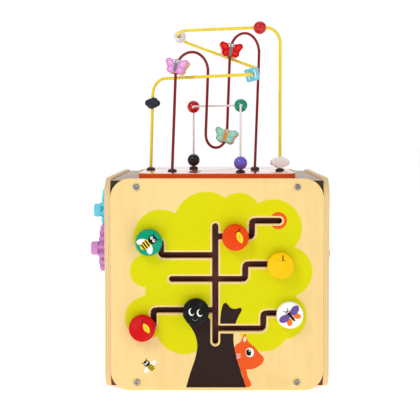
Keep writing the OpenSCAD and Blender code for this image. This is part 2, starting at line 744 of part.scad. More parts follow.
module on_clock(x) { translate([0, clock_c[0], mid_z + clock_c[1]]) to_right(x) children(); }
module hour_hand() { color(red) on_clock(hour_in) hand(hour_l, hour_a); }
module minute_hand() { color(teal) on_clock(minute_in) hand(minute_l, minute_a); }
module minute_knob() {
    color(natural) on_clock(minute_in + hand_t)
        translate([push_r * cos(minute_a), push_r * sin(minute_a), 0]) cylinder(d = push_d, h = push_l);
}
module turning_block_left() { color(lemon) turning_block(-1); }
module turning_block_middle() { color(turquoise) turning_block(0); }
module turning_block_right() { color(red) turning_block(1); }

front_panel();
rear_panel();
left_panel();
right_panel();
top_board();
base_board();
panel_screws();
maze_back_board();
maze_plate();
plate_screws();
wire_caps();
yellow_wire();
red_wire();
white_wire();
gear_axles();
gear_spacers();
clock_axle();
clock_washer();
block_rod();
block_brackets();
bead_slate_cloud();
bead_white_cloud();
bead_red_ball_high();
bead_black_ball();
bead_purple_ball();
bead_white_ball();
bead_red_ball_low();
bead_green_ball();
bead_blue_cube();
butterfly_pink();
butterfly_red();
butterfly_mint();
knob_teal();
knob_orange();
knob_yellow();
knob_red();
knob_black();
knob_white();
carrier_teal();
carrier_orange();
carrier_yellow();
carrier_red();
carrier_black();
carrier_white();
gear_lilac();
gear_turquoise();
gear_green();
crank_lilac();
crank_turquoise();
crank_green();
hour_hand();
minute_hand();
minute_knob();
turning_block_left();
turning_block_middle();
turning_block_right();
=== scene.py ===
# %% [markdown]
# # A wooden activity cube
# The toy is a box of birch plywood with a bead maze on top, a sliding maze in
# the front, gears on the left, a clock on the right and turning blocks at the
# rear. The exact model comes first: it gives every piece its place and its
# joint. Blender then adds what a drawing board cannot: rounded edges, wood
# grain, lacquer and printed pictures.

# %% Load the exact model and keep its box
import math

import bpy
from mathutils import Matrix, Vector


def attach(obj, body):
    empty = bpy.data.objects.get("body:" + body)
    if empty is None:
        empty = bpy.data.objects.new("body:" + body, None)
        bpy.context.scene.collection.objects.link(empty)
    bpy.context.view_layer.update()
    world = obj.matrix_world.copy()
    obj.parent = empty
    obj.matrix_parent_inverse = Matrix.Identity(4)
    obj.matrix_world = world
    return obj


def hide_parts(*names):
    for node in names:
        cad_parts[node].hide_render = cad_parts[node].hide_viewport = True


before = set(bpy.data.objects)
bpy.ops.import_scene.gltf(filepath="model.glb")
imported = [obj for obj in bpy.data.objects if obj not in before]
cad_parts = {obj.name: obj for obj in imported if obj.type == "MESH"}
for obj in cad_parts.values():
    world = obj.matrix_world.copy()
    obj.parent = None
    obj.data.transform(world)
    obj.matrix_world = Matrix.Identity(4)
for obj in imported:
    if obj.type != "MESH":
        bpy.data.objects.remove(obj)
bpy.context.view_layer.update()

mm = 0.001

# %% [markdown]
# ## Working habits
# Operators act on whatever is selected, and the loaded model arrives with all
# its parts selected. So each step first clears the selection and then picks
# the one piece it works on, just as one would click it by hand.

# %% Pick one piece, and finish its modifiers


def clear():
    if bpy.context.object and bpy.context.object.mode != "OBJECT":
        bpy.ops.object.mode_set(mode="OBJECT")
    bpy.ops.object.select_all(action="DESELECT")


def work_on(*pieces):
    clear()
    for piece in pieces:
        piece.select_set(True)
    bpy.context.view_layer.objects.active = pieces[0]
    return pieces[0]


def finish_modifiers(piece):
    work_on(piece)
    for modifier in list(piece.modifiers):
        bpy.ops.object.modifier_apply(modifier=modifier.name)


def fix_in_place(piece):
    work_on(piece)
    bpy.ops.object.transform_apply(location=True, rotation=True, scale=True)


clear()
print("nothing selected:", not bpy.context.selected_objects)

# %% [markdown]
# ## Where the eye stands
# A camera a little above the middle of the toy and 1.2 m before its front
# panel sees the panel nearly square on, with only slivers of the two sides.
# A small tilt and a lens shift together keep the upright edges parallel.

# %% Camera
eye = bpy.data.cameras.new("eye")
eye.sensor_width = 36
image_width = 420
eye.lens = 874 / image_width * 36
tilt = math.radians(2.2)
eye.shift_x = -7 / image_width
eye.shift_y = -48.5 / image_width
eye.dof.use_dof = False
camera = bpy.data.objects.new("camera", eye)
camera.location = (0, -1.371, 0.3708)
camera.rotation_euler = (math.radians(90) - tilt, 0, 0)
bpy.context.scene.collection.objects.link(camera)
bpy.context.scene.camera = camera
print("lens", round(eye.lens, 1), "shift", round(eye.shift_x, 3), round(eye.shift_y, 3))

# %% [markdown]
# ## Floor and light
# The toy stands on a white sweep. A broad lamp high on the left gives the
# knobs their short shadows to the lower right, a weaker one on the right
# opens the shadows, and the white room around fills in the rest. A long, low
# softbox behind gives the lacquered top of the toy something white to mirror.

# %% Floor, lamps and room
bpy.ops.mesh.primitive_plane_add(size=30, location=(0, 0, 0))
floor = bpy.context.object
floor.name = "floor"
sweep = bpy.data.materials.new("white_sweep")
sweep.use_nodes = True
paper = sweep.node_tree.nodes["Principled BSDF"].inputs
paper["Base Color"].default_value = (0.92, 0.92, 0.92, 1)
paper["Roughness"].default_value = 0.9
paper["Specular IOR Level"].default_value = 0.1
paper["Emission Color"].default_value = (1, 1, 1, 1)
paper["Emission Strength"].default_value = 0.68
floor.data.materials.append(sweep)


def lamp(name, place, target, size, power):
    light = bpy.data.lights.new(name, "AREA")
    light.shape, light.size, light.size_y, light.energy = "RECTANGLE", size[0], size[1], power
    holder = bpy.data.objects.new(name, light)
    holder.location = place
    aim = Vector(target) - Vector(place)
    holder.rotation_euler = aim.to_track_quat("-Z", "Y").to_euler()
    bpy.context.scene.collection.objects.link(holder)
    return holder


lamp("key_softbox", (-1.15, -1.5, 1.75), (0, 0, 0.2), (0.7, 0.9), 18)
lamp("fill_softbox", (1.35, -1.5, 1.2), (0, 0, 0.25), (0.6, 0.8), 6)
lamp("top_softbox", (0, 0.7, 2.3), (0, 0, 0.3), (1.6, 1.2), 10)
lamp("back_softbox", (0, 2.6, 1.0), (0, 0, 0.4), (4.5, 1.5), 12).visible_camera = False

room = bpy.data.worlds.new("white_room")
bpy.context.scene.world = room
room.use_nodes = True
nodes, links = room.node_tree.nodes, room.node_tree.links
nodes.clear()
soft = nodes.new("ShaderNodeBackground")
soft.inputs["Strength"].default_value = 0.35
seen = nodes.new("ShaderNodeBackground")
seen.inputs["Strength"].default_value = 1.05
for b in (soft, seen):
    b.inputs["Color"].default_value = (1, 1, 1, 1)
path = nodes.new("ShaderNodeLightPath")
either = nodes.new("ShaderNodeMixShader")
out = nodes.new("ShaderNodeOutputWorld")
links.new(path.outputs["Is Camera Ray"], either.inputs["Fac"])
links.new(soft.outputs[0], either.inputs[1])
links.new(seen.outputs[0], either.inputs[2])
links.new(either.outputs[0], out.inputs["Surface"])
bpy.context.scene.view_settings.view_transform = "Standard"

# %% [markdown]
# ## Effects that several finishes share
# A node group is like a jar of mixed stain: it is made once and used in many
# finishes. These three give the long figure of wood, the unevenness of paint
# rolled over wood, and the paler, rubbed look of edges that hands touch. Each
# one only gives colours and masks; the shader stays in the finish itself.

# %% A small helper to build groups and finishes


def linear(rgb):
    """A colour as a paint chart names it, 0 to 255, in the light values that nodes use."""
    return tuple(
        (c / 255 / 12.92) if c / 255 <= 0.04045 else ((c / 255 + 0.055) / 1.055) ** 2.4 for c in rgb
    ) + (1,)


class Bench:
    """A node tree to work in: bench.add(kind, settings) places a node and links its inputs."""

    def __init__(self, tree):
        self.tree = tree

    def add(self, kind, props=None, **inputs):
        node = self.tree.nodes.new("ShaderNode" + kind)
        for key, value in (props or {}).items():
            setattr(node, key, value)
        for key, value in inputs.items():
            key = int(key[1:]) if key[0] == "i" and key[1:].isdigit() else key.replace("_", " ")
            if isinstance(value, bpy.types.NodeSocket):
                self.tree.links.new(value, node.inputs[key])
            else:
                node.inputs[key].default_value = value
        return node

    def math(self, what, a, b=0.0, clamp=False):
        return self.add("Math", {"operation": what, "use_clamp": clamp}, i0=a, i1=b).outputs[0]

    def mix(self, share, a, b, kind="MIX"):
        return self.add("Mix", {"data_type": "RGBA", "blend_type": kind}, i0=share, i6=a, i7=b).outputs[2]

    def stretch(self, value, low, high, to_low=0.0, to_high=1.0):
        return self.add("MapRange", None, Value=value, From_Min=low, From_Max=high,
                        To_Min=to_low, To_Max=to_high).outputs[0]


def group(name, inputs, outputs):
    tree = bpy.data.node_groups.new(name, "ShaderNodeTree")
    for label, kind, value in inputs:
        socket = tree.interface.new_socket(name=label, in_out="INPUT", socket_type=kind)
        if value is not None:
            socket.default_value = value
    for label, kind in outputs:
        tree.interface.new_socket(name=label, in_out="OUTPUT", socket_type=kind)
    bench = Bench(tree)
    return bench, tree.nodes.new("NodeGroupInput").outputs, tree.nodes.new("NodeGroupOutput").inputs


NUMBER, COLOUR, VECTOR = "NodeSocketFloat", "NodeSocketColor", "NodeSocketVector"

# %% [markdown]
# ### Wood figure
# Wood shows long streaks along the trunk, short dark pores and slow changes of
# tone. Noise squeezed along one direction gives all three; the direction comes
# from the coordinates that each finish hands in.

# %% Group: wood figure
bench, given, result = group(
    "wood figure",
    [("Along the grain", VECTOR, None), ("Light", COLOUR, (1, 1, 1, 1)), ("Dark", COLOUR, (0, 0, 0, 1)),
     ("Depth of figure", NUMBER, 0.5)],
    [("Color", COLOUR), ("Height", NUMBER), ("Roughness", NUMBER)])
streaks = bench.add("TexNoise", None, Vector=given["Along the grain"], Scale=95.0, Detail=5.0, Roughness=0.62)
broad = bench.add("TexNoise", None, Vector=given["Along the grain"], Scale=16.0, Detail=2.0)
pores = bench.add("TexNoise", None, Vector=given["Along the grain"], Scale=620.0, Detail=2.0)
figure = bench.math("ADD", bench.math("MULTIPLY", streaks.outputs[0], 0.6),
                    bench.math("MULTIPLY", broad.outputs[0], 0.4))
figure = bench.stretch(figure, 0.36, 0.66)
pore = bench.stretch(pores.outputs[0], 0.3, 0.44, 1.0, 0.0)
share = bench.math("MULTIPLY", figure, given["Depth of figure"])
share = bench.math("ADD", share, bench.math("MULTIPLY", pore, 0.16), clamp=True)
links = bench.tree.links
links.new(bench.mix(share, given["Light"], given["Dark"]), result["Color"])
links.new(bench.math("SUBTRACT", figure, pore), result["Height"])
links.new(bench.math("MULTIPLY", share, 0.12), result["Roughness"])
print("made", bench.tree.name)

# %% [markdown]
# ### Paint over wood
# Toy paint is thin. It lies in slow clouds of slightly deeper and paler colour,
# with a fine dimple from the roller or the drum that the beads tumble in.

# %% Group: paint film
bench, given, result = group(
    "paint film",
    [("Colour", COLOUR, (1, 1, 1, 1)), ("Cloudiness", NUMBER, 0.12)],
    [("Color", COLOUR), ("Height", NUMBER), ("Roughness", NUMBER)])
where = bench.add("TexCoord").outputs["Object"]
clouds = bench.add("TexNoise", None, Vector=where, Scale=55.0, Detail=3.0).outputs[0]
dimples = bench.add("TexNoise", None, Vector=where, Scale=1500.0, Detail=2.0).outputs[0]
fibres = bench.add("TexNoise", None, Vector=where, Scale=420.0, Detail=4.0).outputs[0]
uneven = bench.math("MULTIPLY", bench.stretch(clouds, 0.3, 0.7, -1.0, 1.0), given["Cloudiness"])
deeper = bench.mix(bench.math("MAXIMUM", uneven, 0.0), given["Colour"],
                   bench.mix(1.0, given["Colour"], given["Colour"], "MULTIPLY"))
paler = bench.math("MAXIMUM", bench.math("MULTIPLY", uneven, -0.15), 0.0)
links = bench.tree.links
links.new(bench.mix(paler, deeper, (1, 1, 1, 1)), result["Color"])
links.new(bench.math("ADD", dimples, bench.math("MULTIPLY", fibres, 0.6)), result["Height"])
links.new(bench.stretch(fibres, 0.3, 0.7, -0.06, 0.08), result["Roughness"])
print("made", bench.tree.name)

# %% [markdown]
# ### Rubbed edges
# Corners lose a little colour and gloss where they are handled. The Bevel node
# tells how far the surface turns near a point: on a flat it says nothing, at a
# corner it says a lot. Broken up by noise, that becomes wear.

# %% Group: rubbed edges
bench, given, result = group("rubbed edges", [("Reach", NUMBER, 0.001)], [("Mask", NUMBER)])
turned_normal = bench.add("Bevel", {"samples": 4}, Radius=given["Reach"]).outputs[0]
plain_normal = bench.add("NewGeometry").outputs["Normal"]
turn = bench.add("VectorMath", {"operation": "DOT_PRODUCT"}, i0=turned_normal,
                 i1=plain_normal).outputs["Value"]
corner = bench.stretch(turn, 0.995, 0.82)
where = bench.add("TexCoord").outputs["Object"]
patches = bench.add("TexNoise", None, Vector=where, Scale=260.0, Detail=4.0).outputs[0]
links = bench.tree.links
links.new(bench.math("MULTIPLY", corner, bench.stretch(patches, 0.42, 0.62), clamp=True), result["Mask"])
print("made", bench.tree.name)

# %% [markdown]
# ## The finishes
# Every finish ends in one Principled shader. What changes over the surface
# arrives through nodes; what is the same all over, such as the strength of a
# clear coat, is simply set on the shader.

# %% Start a finish, and place a group in it


def new_finish(name, **settings):
    finish = bpy.data.materials.new(name)
    finish.use_nodes = True
    finish.node_tree.nodes.clear()
    bench = Bench(finish.node_tree)
    shader = bench.add("BsdfPrincipled")
    for key, value in settings.items():
        shader.inputs[key.replace("_", " ")].default_value = value
    end = bench.add("OutputMaterial")
    bench.tree.links.new(shader.outputs[0], end.inputs["Surface"])
    return finish, bench, shader.inputs


def use(bench, name, **inputs):
    placed = bench.tree.nodes.new("ShaderNodeGroup")
    placed.node_tree = bpy.data.node_groups[name]
    for key, value in inputs.items():
        key = key.replace("_", " ")
        if isinstance(value, bpy.types.NodeSocket):
            bench.tree.links.new(value, placed.inputs[key])
        else:
            placed.inputs[key].default_value = value
    return placed.outputs


def bumped(bench, height, strength, distance):
    return bench.add("Bump", None, Strength=strength, Distance=distance, Height=height).outputs[0]


# %% [markdown]
# ### Birch plywood
# A panel is five thin veneers glued crosswise. On its face one sees the calm
# figure of a single veneer; on its edge the veneers show as pale and brown
# stripes. The place within the thickness picks the stripe, so face and edge
# come out right with one finish. The front and rear panels are thick along Y
# and the side panels along X, which makes two versions.

# %% Finish: birch plywood
GRAIN_UP = (1.0, 1.0, 0.07)


def plywood(name, through, outer, light, dark):
    finish, bench, shader = new_finish(name, Coat_Weight=0.05, Coat_Roughness=0.3, Specular_IOR_Level=0.3)
    where = bench.add("TexCoord").outputs["Object"]
    along = bench.add("Mapping", None, Vector=where, Scale=GRAIN_UP).outputs[0]
    figure = use(bench, "wood figure", Along_the_grain=along, Light=linear(light), Dark=linear(dark),
                 Depth_of_figure=0.3)
    xyz = bench.add("SeparateXYZ", None, Vector=where)
    depth = bench.math("ABSOLUTE", xyz.outputs[through])
    depth = bench.math("DIVIDE", bench.math("SUBTRACT", outer * mm, depth), 8 * mm)
    layer = bench.math("MODULO", bench.math("MULTIPLY", depth, 5.0), 2.0)
    stripe = bench.stretch(bench.math("ABSOLUTE", bench.math("SUBTRACT", layer, 1.5)), 0.5, 0.36)
    stripe = bench.math("MULTIPLY", stripe, 0.4)
    veneers = bench.mix(stripe, figure["Color"], linear((196, 158, 104)))
    wear = use(bench, "rubbed edges", Reach=0.0012)["Mask"]
    edge = bench.math("MULTIPLY", wear, 0.35)
    links = bench.tree.links
    links.new(bench.mix(edge, veneers, linear((226, 196, 142))), shader["Base Color"])
    rough = bench.math("ADD", bench.math("ADD", figure["Roughness"], 0.42),
                       bench.math("MULTIPLY", wear, 0.15))
    links.new(rough, shader["Roughness"])
    links.new(bumped(bench, figure["Height"], 0.22, 0.00012), shader["Normal"])
    return finish


birch_front = plywood("birch_ply_front", 1, 150, (247, 216, 148), (229, 187, 116))
birch_side = plywood("birch_ply_side", 0, 158, (240, 210, 154), (220, 180, 124))
print("finishes", birch_front.name, birch_side.name)

# %% [markdown]
# ### Plain turned wood
# Axles, dowels, brackets and carriers are bare beech, a little darker and
# pinker than birch, with the grain along the piece.

# %% Finish: plain beech, boards of darker wood, and a near-black board edge that is painted shade


def solid_wood(name, light, dark, stretch, rough=0.5, coat=0.08):
    finish, bench, shader = new_finish(name, Coat_Weight=coat, Coat_Roughness=0.35)
    where = bench.add("TexCoord").outputs["Object"]
    along = bench.add("Mapping", None, Vector=where, Scale=stretch).outputs[0]
    figure = use(bench, "wood figure", Along_the_grain=along, Light=linear(light), Dark=linear(dark),
                 Depth_of_figure=0.6)
    wear = use(bench, "rubbed edges", Reach=0.0008)["Mask"]
    links = bench.tree.links
    links.new(bench.mix(bench.math("MULTIPLY", wear, 0.3), figure["Color"], linear(light)),
              shader["Base Color"])
    links.new(bench.math("ADD", figure["Roughness"], rough), shader["Roughness"])
    links.new(bumped(bench, figure["Height"], 0.3, 0.00015), shader["Normal"])
    return finish


beech_x = solid_wood("beech_along_x", (232, 196, 150), (196, 150, 102), (0.08, 1, 1))
beech_y = solid_wood("beech_along_y", (232, 196, 150), (196, 150, 102), (1, 0.08, 1))
beech_z = solid_wood("beech_along_z", (238, 202, 158), (204, 158, 110), (1, 1, 0.1))
brown_board = solid_wood("dark_brown_board", (112, 42, 22), (74, 28, 18), (0.1, 1, 1), 0.5, 0.05)
grey_board = solid_wood("pale_grey_board", (190, 162, 138), (164, 138, 114), (0.08, 1, 1), 0.4, 0.3)
# Near-black for the top board's cut edges: painted shade for the gaps at the top corners.
edge_with_painted_shade = solid_wood("board_edge_with_painted_shade", (44, 36, 32), (26, 21, 19), (0.1, 1, 1), 0.6, 0.0)
print("woods", [m.name for m in (beech_x, beech_y, beech_z, brown_board, grey_board, edge_with_painted_shade)])

# %% [markdown]
# ### Toy paint
# Knobs, beads and gears wear a smooth water-based lacquer. Beads are tumbled
# glossy; knobs and gears are sprayed and look satin. Where an edge is rubbed,
# the paint turns a little paler and duller.

# %% Finish: paint in any colour


def paint(name, rgb, rough=0.42, coat=0.05, coat_rough=0.15, cloud=0.1, dimple=0.16, worn=0.3, shine=0.1):
    finish, bench, shader = new_finish(name, Coat_Weight=coat, Coat_Roughness=coat_rough,
                                       Specular_IOR_Level=shine)
    film = use(bench, "paint film", Colour=linear(rgb), Cloudiness=cloud)
    wear = use(bench, "rubbed edges", Reach=0.0009)["Mask"]
    pale = linear(tuple(min(255, c * 0.72 + 66) for c in rgb))
    links = bench.tree.links
    links.new(bench.mix(bench.math("MULTIPLY", wear, worn), film["Color"], pale), shader["Base Color"])
    dull = bench.math("ADD", film["Roughness"], bench.math("MULTIPLY", wear, 0.2))
    links.new(bench.math("ADD", dull, rough), shader["Roughness"])
    links.new(bumped(bench, film["Height"], dimple, 0.00006), shader["Normal"])
    return finish


satin = {}
for colour, rgb in {
    "teal": (0, 158, 120), "orange": (230, 68, 0), "yellow": (250, 198, 0), "red": (208, 0, 12),
    "black": (16, 14, 14), "white": (255, 255, 253), "lilac": (212, 148, 216), "turquoise": (112, 220, 242),
    "dark_green": (0, 96, 84), "mint": (150, 216, 196), "pink": (222, 146, 212),
    "orange_red": (250, 84, 4), "slate": (44, 52, 60), "sky": (120, 202, 224),
}.items():
    satin[colour] = paint(colour + "_lacquer", rgb)
gloss = {}
for colour, rgb in {
    "red": (200, 0, 8), "black": (30, 26, 26), "purple": (112, 100, 214), "white": (232, 229, 232),
    "green": (0, 146, 110),
}.items():
    gloss[colour] = paint(colour + "_gloss", rgb, rough=0.4, coat=0.75, coat_rough=0.05, dimple=0.015,
                          worn=0.05,
                          shine=0.05)
print("paints", len(satin), "satin", len(gloss), "gloss")

# %% [markdown]
# ### Printing ink
# The pictures are screen-printed: flat colour, a hair thick, that lets the
# wood's fibres show through faintly. They are duller than the lacquer.

# %% Finish: printing ink
ink = {}
for colour, rgb in {
    "canopy": (234, 220, 4), "canopy_green": (202, 220, 14), "trunk": (46, 30, 28), "orange": (236, 90, 30),
    "white": (250, 248, 242), "black": (24, 20, 20), "yellow": (252, 218, 44), "purple": (110, 84, 152),
    "wing_orange": (240, 120, 30), "stem": (88, 42, 18), "dark_red": (196, 50, 20), "blue": (70, 150, 200),
    "green": (90, 168, 60), "pink": (232, 140, 170), "pale_blue": (196, 230, 238),
    "grey": (120, 124, 132), "pupil": (16, 14, 14), "cream": (255, 226, 206),
}.items():
    ink[colour] = paint(colour + "_ink", rgb, rough=0.5, coat=0.0, cloud=0.05 if max(rgb) > 90 else 0.008,
                        dimple=0.25, worn=0.0, shine=0.1)
print("inks", len(ink))

# %% [markdown]
# ### Leaves that turn from yellow to green
# The crown of the tree is one print whose yellow runs softly into a greener
# edge. A slow noise and the distance from the crown's middle drive the change.

# %% Finish: the crown's ink
crown_ink, bench, shader = new_finish("crown_ink", Specular_IOR_Level=0.1)
where = bench.add("TexCoord").outputs["Object"]
film = use(bench, "paint film", Colour=linear((228, 214, 0)), Cloudiness=0.05)
middle = bench.add("Mapping", None, Vector=where, Location=(-0.01, 0, -0.165), Scale=(1, 1, 1)).outputs[0]
far = bench.add("VectorMath", {"operation": "LENGTH"}, i0=middle).outputs["Value"]
drift = bench.add("TexNoise", None, Vector=where, Scale=14.0, Detail=2.0).outputs[0]
toward = bench.math("ADD", bench.stretch(far, 0.05, 0.135), bench.stretch(drift, 0.3, 0.7, -0.35, 0.35),
                    clamp=True)
bench.tree.links.new(bench.mix(bench.math("MULTIPLY", toward, 0.5), film["Color"], linear((208, 216, 0))),
                     shader["Base Color"])
bench.tree.links.new(bench.math("ADD", film["Roughness"], 0.46), shader["Roughness"])
bench.tree.links.new(bumped(bench, film["Height"], 0.25, 0.00006), shader["Normal"])
print("finish", crown_ink.name)

# %% [markdown]
# ### Coated wire, steel and rubber
# The maze wires are steel rods dipped in plastic, so they are glossy and very
# slightly wavy. Screws are zinc-plated steel with fine turning marks and blotchy
# stains. The caps at the wires' feet are black rubber.

# %% Finishes: coated wire, zinc-plated steel, rubber


def coated(name, rgb):
    finish, bench, shader = new_finish(name, Coat_Weight=0.25, Coat_Roughness=0.1, Specular_IOR_Level=0.3)
    where = bench.add("TexCoord").outputs["Object"]
    ripple = bench.add("TexNoise", None, Vector=where, Scale=180.0, Detail=2.0).outputs[0]
    shade = bench.add("TexNoise", None, Vector=where, Scale=30.0, Detail=2.0).outputs[0]
    deep = linear(tuple(c * 0.93 for c in rgb))
    links = bench.tree.links
    links.new(bench.mix(bench.stretch(shade, 0.3, 0.7, 0.0, 0.6), linear(rgb), deep), shader["Base Color"])
    links.new(bench.stretch(ripple, 0.3, 0.7, 0.18, 0.32), shader["Roughness"])
    links.new(bumped(bench, ripple, 0.02, 0.0001), shader["Normal"])
    return finish


yellow_coating = coated("yellow_coating", (247, 222, 44))
red_coating = coated("dark_red_coating", (140, 0, 20))
white_coating = coated("white_coating", (238, 233, 235))

steel, bench, shader = new_finish("zinc_plated_steel", Metallic=1.0)
where = bench.add("TexCoord").outputs["Object"]
turning = bench.add("TexNoise", None, Vector=where, Scale=1900.0, Detail=3.0).outputs[0]
stain = bench.add("TexNoise", None, Vector=where, Scale=240.0, Detail=2.0).outputs[0]
bench.tree.links.new(bench.mix(bench.stretch(stain, 0.35, 0.65), linear((178, 176, 172)),
                               linear((128, 126, 124))),
                     shader["Base Color"])
bench.tree.links.new(bench.stretch(turning, 0.3, 0.7, 0.28, 0.5), shader["Roughness"])
bench.tree.links.new(bumped(bench, turning, 0.2, 0.00005), shader["Normal"])

rubber, bench, shader = new_finish("cap_rubber", Coat_Weight=0.15, Coat_Roughness=0.2)
where = bench.add("TexCoord").outputs["Object"]
grain = bench.add("TexNoise", None, Vector=where, Scale=900.0, Detail=3.0).outputs[0]
bench.tree.links.new(bench.mix(grain, linear((24, 22, 22)), linear((48, 45, 44))), shader["Base Color"])
bench.tree.links.new(bench.stretch(grain, 0.3, 0.7, 0.3, 0.5), shader["Roughness"])
bench.tree.links.new(bumped(bench, grain, 0.2, 0.00008), shader["Normal"])
print("finishes", yellow_coating.name, red_coating.name, white_coating.name, steel.name, rubber.name)

# %% [markdown]
# ## Rounding what the model gives
# The exact model has knife-sharp edges. A real wooden part has been sanded, so
# each part is copied, its loose triangles are welded into whole faces, and its
# sharp edges are rounded. How much depends on the part: a knob is sanded
# round, a gear tooth hardly. A rule may look at where an edge lies and answer
# with its rounding, since one part can have both kinds.

# %% Copy a part, weld it, round its sharp edges


def rounded_copy(node, body, finish, rounding, steps=3, name=None):
    piece = bpy.data.objects.new(name or node + "_finished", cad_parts[node].data.copy())
    bpy.context.scene.collection.objects.link(piece)
    work_on(piece)
    bpy.ops.mesh.customdata_custom_splitnormals_clear()
    bpy.ops.object.mode_set(mode="EDIT")
    bpy.ops.mesh.select_all(action="SELECT")
    bpy.ops.mesh.remove_doubles(threshold=0.003 * mm)
    bpy.ops.mesh.dissolve_limited(angle_limit=math.radians(0.6))
    bpy.ops.object.mode_set(mode="OBJECT")
    mesh = piece.data
    most = rounding if not callable(rounding) else rounding.most
    weights = mesh.attributes.new("bevel_weight_edge", "FLOAT", "EDGE")
    normals = {}
    for face in mesh.polygons:
        for key in face.edge_keys:
            normals.setdefault(key, []).append(face.normal)
    for edge in mesh.edges:
        sides = normals.get(edge.key, [])
        if len(sides) == 2 and sides[0].angle(sides[1], 0) > math.radians(32):
            place = (mesh.vertices[edge.vertices[0]].co + mesh.vertices[edge.vertices[1]].co) / 2 / mm
            want = rounding(place) if callable(rounding) else rounding
            weights.data[edge.index].value = want / most
    bevel = piece.modifiers.new("rounding", "BEVEL")
    bevel.width, bevel.segments, bevel.limit_method = most * mm, steps, "WEIGHT"
    bevel.use_clamp_overlap = False
    bevel.miter_outer = "MITER_ARC"
    finish_modifiers(piece)
    work_on(piece)
    bpy.ops.object.shade_smooth_by_angle(angle=math.radians(40))
    mesh.materials.clear()
    mesh.materials.append(finish)
    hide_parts(node)
    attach(piece, body)
    print(piece.name, len(mesh.polygons), "faces")
    return piece


def rule(most, answer):
    answer.most = most
    return answer


def paint_faces(piece, finish, choose):
    """Gives a second finish to the faces that `choose` picks by normal and place."""
    piece.data.materials.append(finish)
    last = len(piece.data.materials) - 1
    for face in piece.data.polygons:
        if choose(face.normal, face.center / mm):
            face.material_index = last

# %% [markdown]
# ## The box
# Four plywood panels are screwed to the edges of a top and a base board. Their
# outlines were cut with a router, so the rounded corners are crisp and the
# edges just broken. The front panel's slots get the same small rounding.

# %% Panels
panels = {}
for node, finish in {"front_panel": birch_front, "rear_panel": birch_front,
                     "left_panel": birch_side, "right_panel": birch_side}.items():
    panels[node] = rounded_copy(node, "cube", finish, 0.9)

# %% [markdown]
# The top board is pale grey above. Its cut edges are near-black: partly the
# board's own dark edge, partly painted shade for the dark gaps beside the
# rounded panels. The base board's edges are dark above and orange-red where the
# paint of its underside runs up.

# %% Boards
top = rounded_copy("top_board", "cube", grey_board, 0.5)
# The top board's edge faces get the near-black finish, painted shade for the corner gaps.
paint_faces(top, edge_with_painted_shade, lambda n, c: abs(n.z) < 0.5)
base = rounded_copy("base_board", "cube", brown_board, 0.5)
paint_faces(base, satin["orange_red"], lambda n, c: n.z < -0.5 or (abs(n.z) < 0.5 and c.z < 5.6))
rounded_copy("maze_back_board", "cube", brown_board, 0.4)
print("top board faces", len(top.data.polygons))

# %% [markdown]
# ### Screws
# The screw heads are low domes with a cross. Their rims are rounded more than
# the recess.

# %% Screws
screws = rounded_copy("panel_screws", "cube", steel,
                      rule(0.7, lambda p: 0.7 if max(abs(p.x) - 159.9, abs(p.y) - 151.9) > -0.05 and min(
                          math.hypot((p.x if abs(p.x) < 150 else p.y) - s * 113, p.z - z)
                          for s in (-1, 1) for z in (12, 288)) > 3.9 else 0.12))
rounded_copy("plate_screws", "cube", steel, 0.3, 2)
print("screw faces", len(screws.data.polygons))

# %% [markdown]
# ### The orange plate
# The bead maze stands on a thick painted plate with rounded corners. Its top is
# lacquered to a mirror, so it throws back the white of the room. The top's paint
# is also mixed paler and pinker than the sides, a painted reflection of that
# white.

# %% Maze plate
plate_side = paint("plate_side_paint", (236, 84, 16))
# Paler and pinker than the side paint: a painted reflection of the white room on the top.
plate_top_with_painted_reflection = paint("plate_top_paint_with_painted_reflection", (240, 104, 60), rough=0.2, coat=1.0, coat_rough=0.05, dimple=0.03,
                  shine=0.5)
plate = rounded_copy("maze_plate", "cube", plate_side, 1.2)
paint_faces(plate, plate_top_with_painted_reflection, lambda n, c: n.z > 0.9)
rounded_copy("wire_caps", "cube", rubber, 0.3, 2)
print("plate and caps made")

# %% [markdown]
# ## The wires of the bead maze
# Each wire is one bent steel rod. The routes are drawn as in the model, from
# foot to foot with a radius at each bend, but with finer steps, and a curve
# with a round section runs along them. The tube is then turned into a mesh.

# %% Routes
DECK = 305.0
FOOT = 7.9
LEAD = 4.6


def over(x, y, height):
    return Vector((x, y, DECK + height))


def corner_arc(before, corner, after, radius, steps):
    u, v = (before - corner).normalized(), (after - corner).normalized()
    opening = u.angle(v)
    start, end = corner + u * radius / math.tan(opening / 2), corner + v * radius / math.tan(opening / 2)
    middle = corner + (u + v).normalized() * radius / math.sin(opening / 2)
    sweep = math.pi - opening
    return [middle + ((start - middle) * math.sin(sweep * (1 - i / steps))
                      + (end - middle) * math.sin(sweep * i / steps)) / math.sin(sweep)
            for i in range(steps + 1)]


def bent_route(stops):
    route = []
    for i, (point, radius) in enumerate(stops):
        route += [point] if not radius else corner_arc(stops[i - 1][0], point, stops[i + 1][0], radius, 20)
    return route


yellow_route = bent_route([
    (over(-105, 16, -FOOT), 0), (over(-105, 16, LEAD), 0), (over(-101, 16, 143), 25),
    (over(50, -88, 144), 8), (over(54, -50, 146.5), 8), (over(63, -6, 158), 9), (over(-55, 86, 208.5), 9),
    (over(-66, 4, 217.5), 30), (over(97, -25, 221), 25), (over(97, -25, -FOOT), 0)])

red_start, red_run = Vector((-68, -43)), Vector((61, 33)) - Vector((-68, -43))


def in_red_plane(along, height):
    place = red_start + red_run.normalized() * (along + 0.042 * max(0, height - LEAD))
    return over(place.x, place.y, height)


def half_round(u0, u1, height, rise):
    middle, reach = (u0 + u1) / 2, (u1 - u0) / 2
    return [in_red_plane(middle - reach * math.cos(math.pi * i / 32),
                         height + rise * math.sin(math.pi * i / 32))
            for i in range(33)]


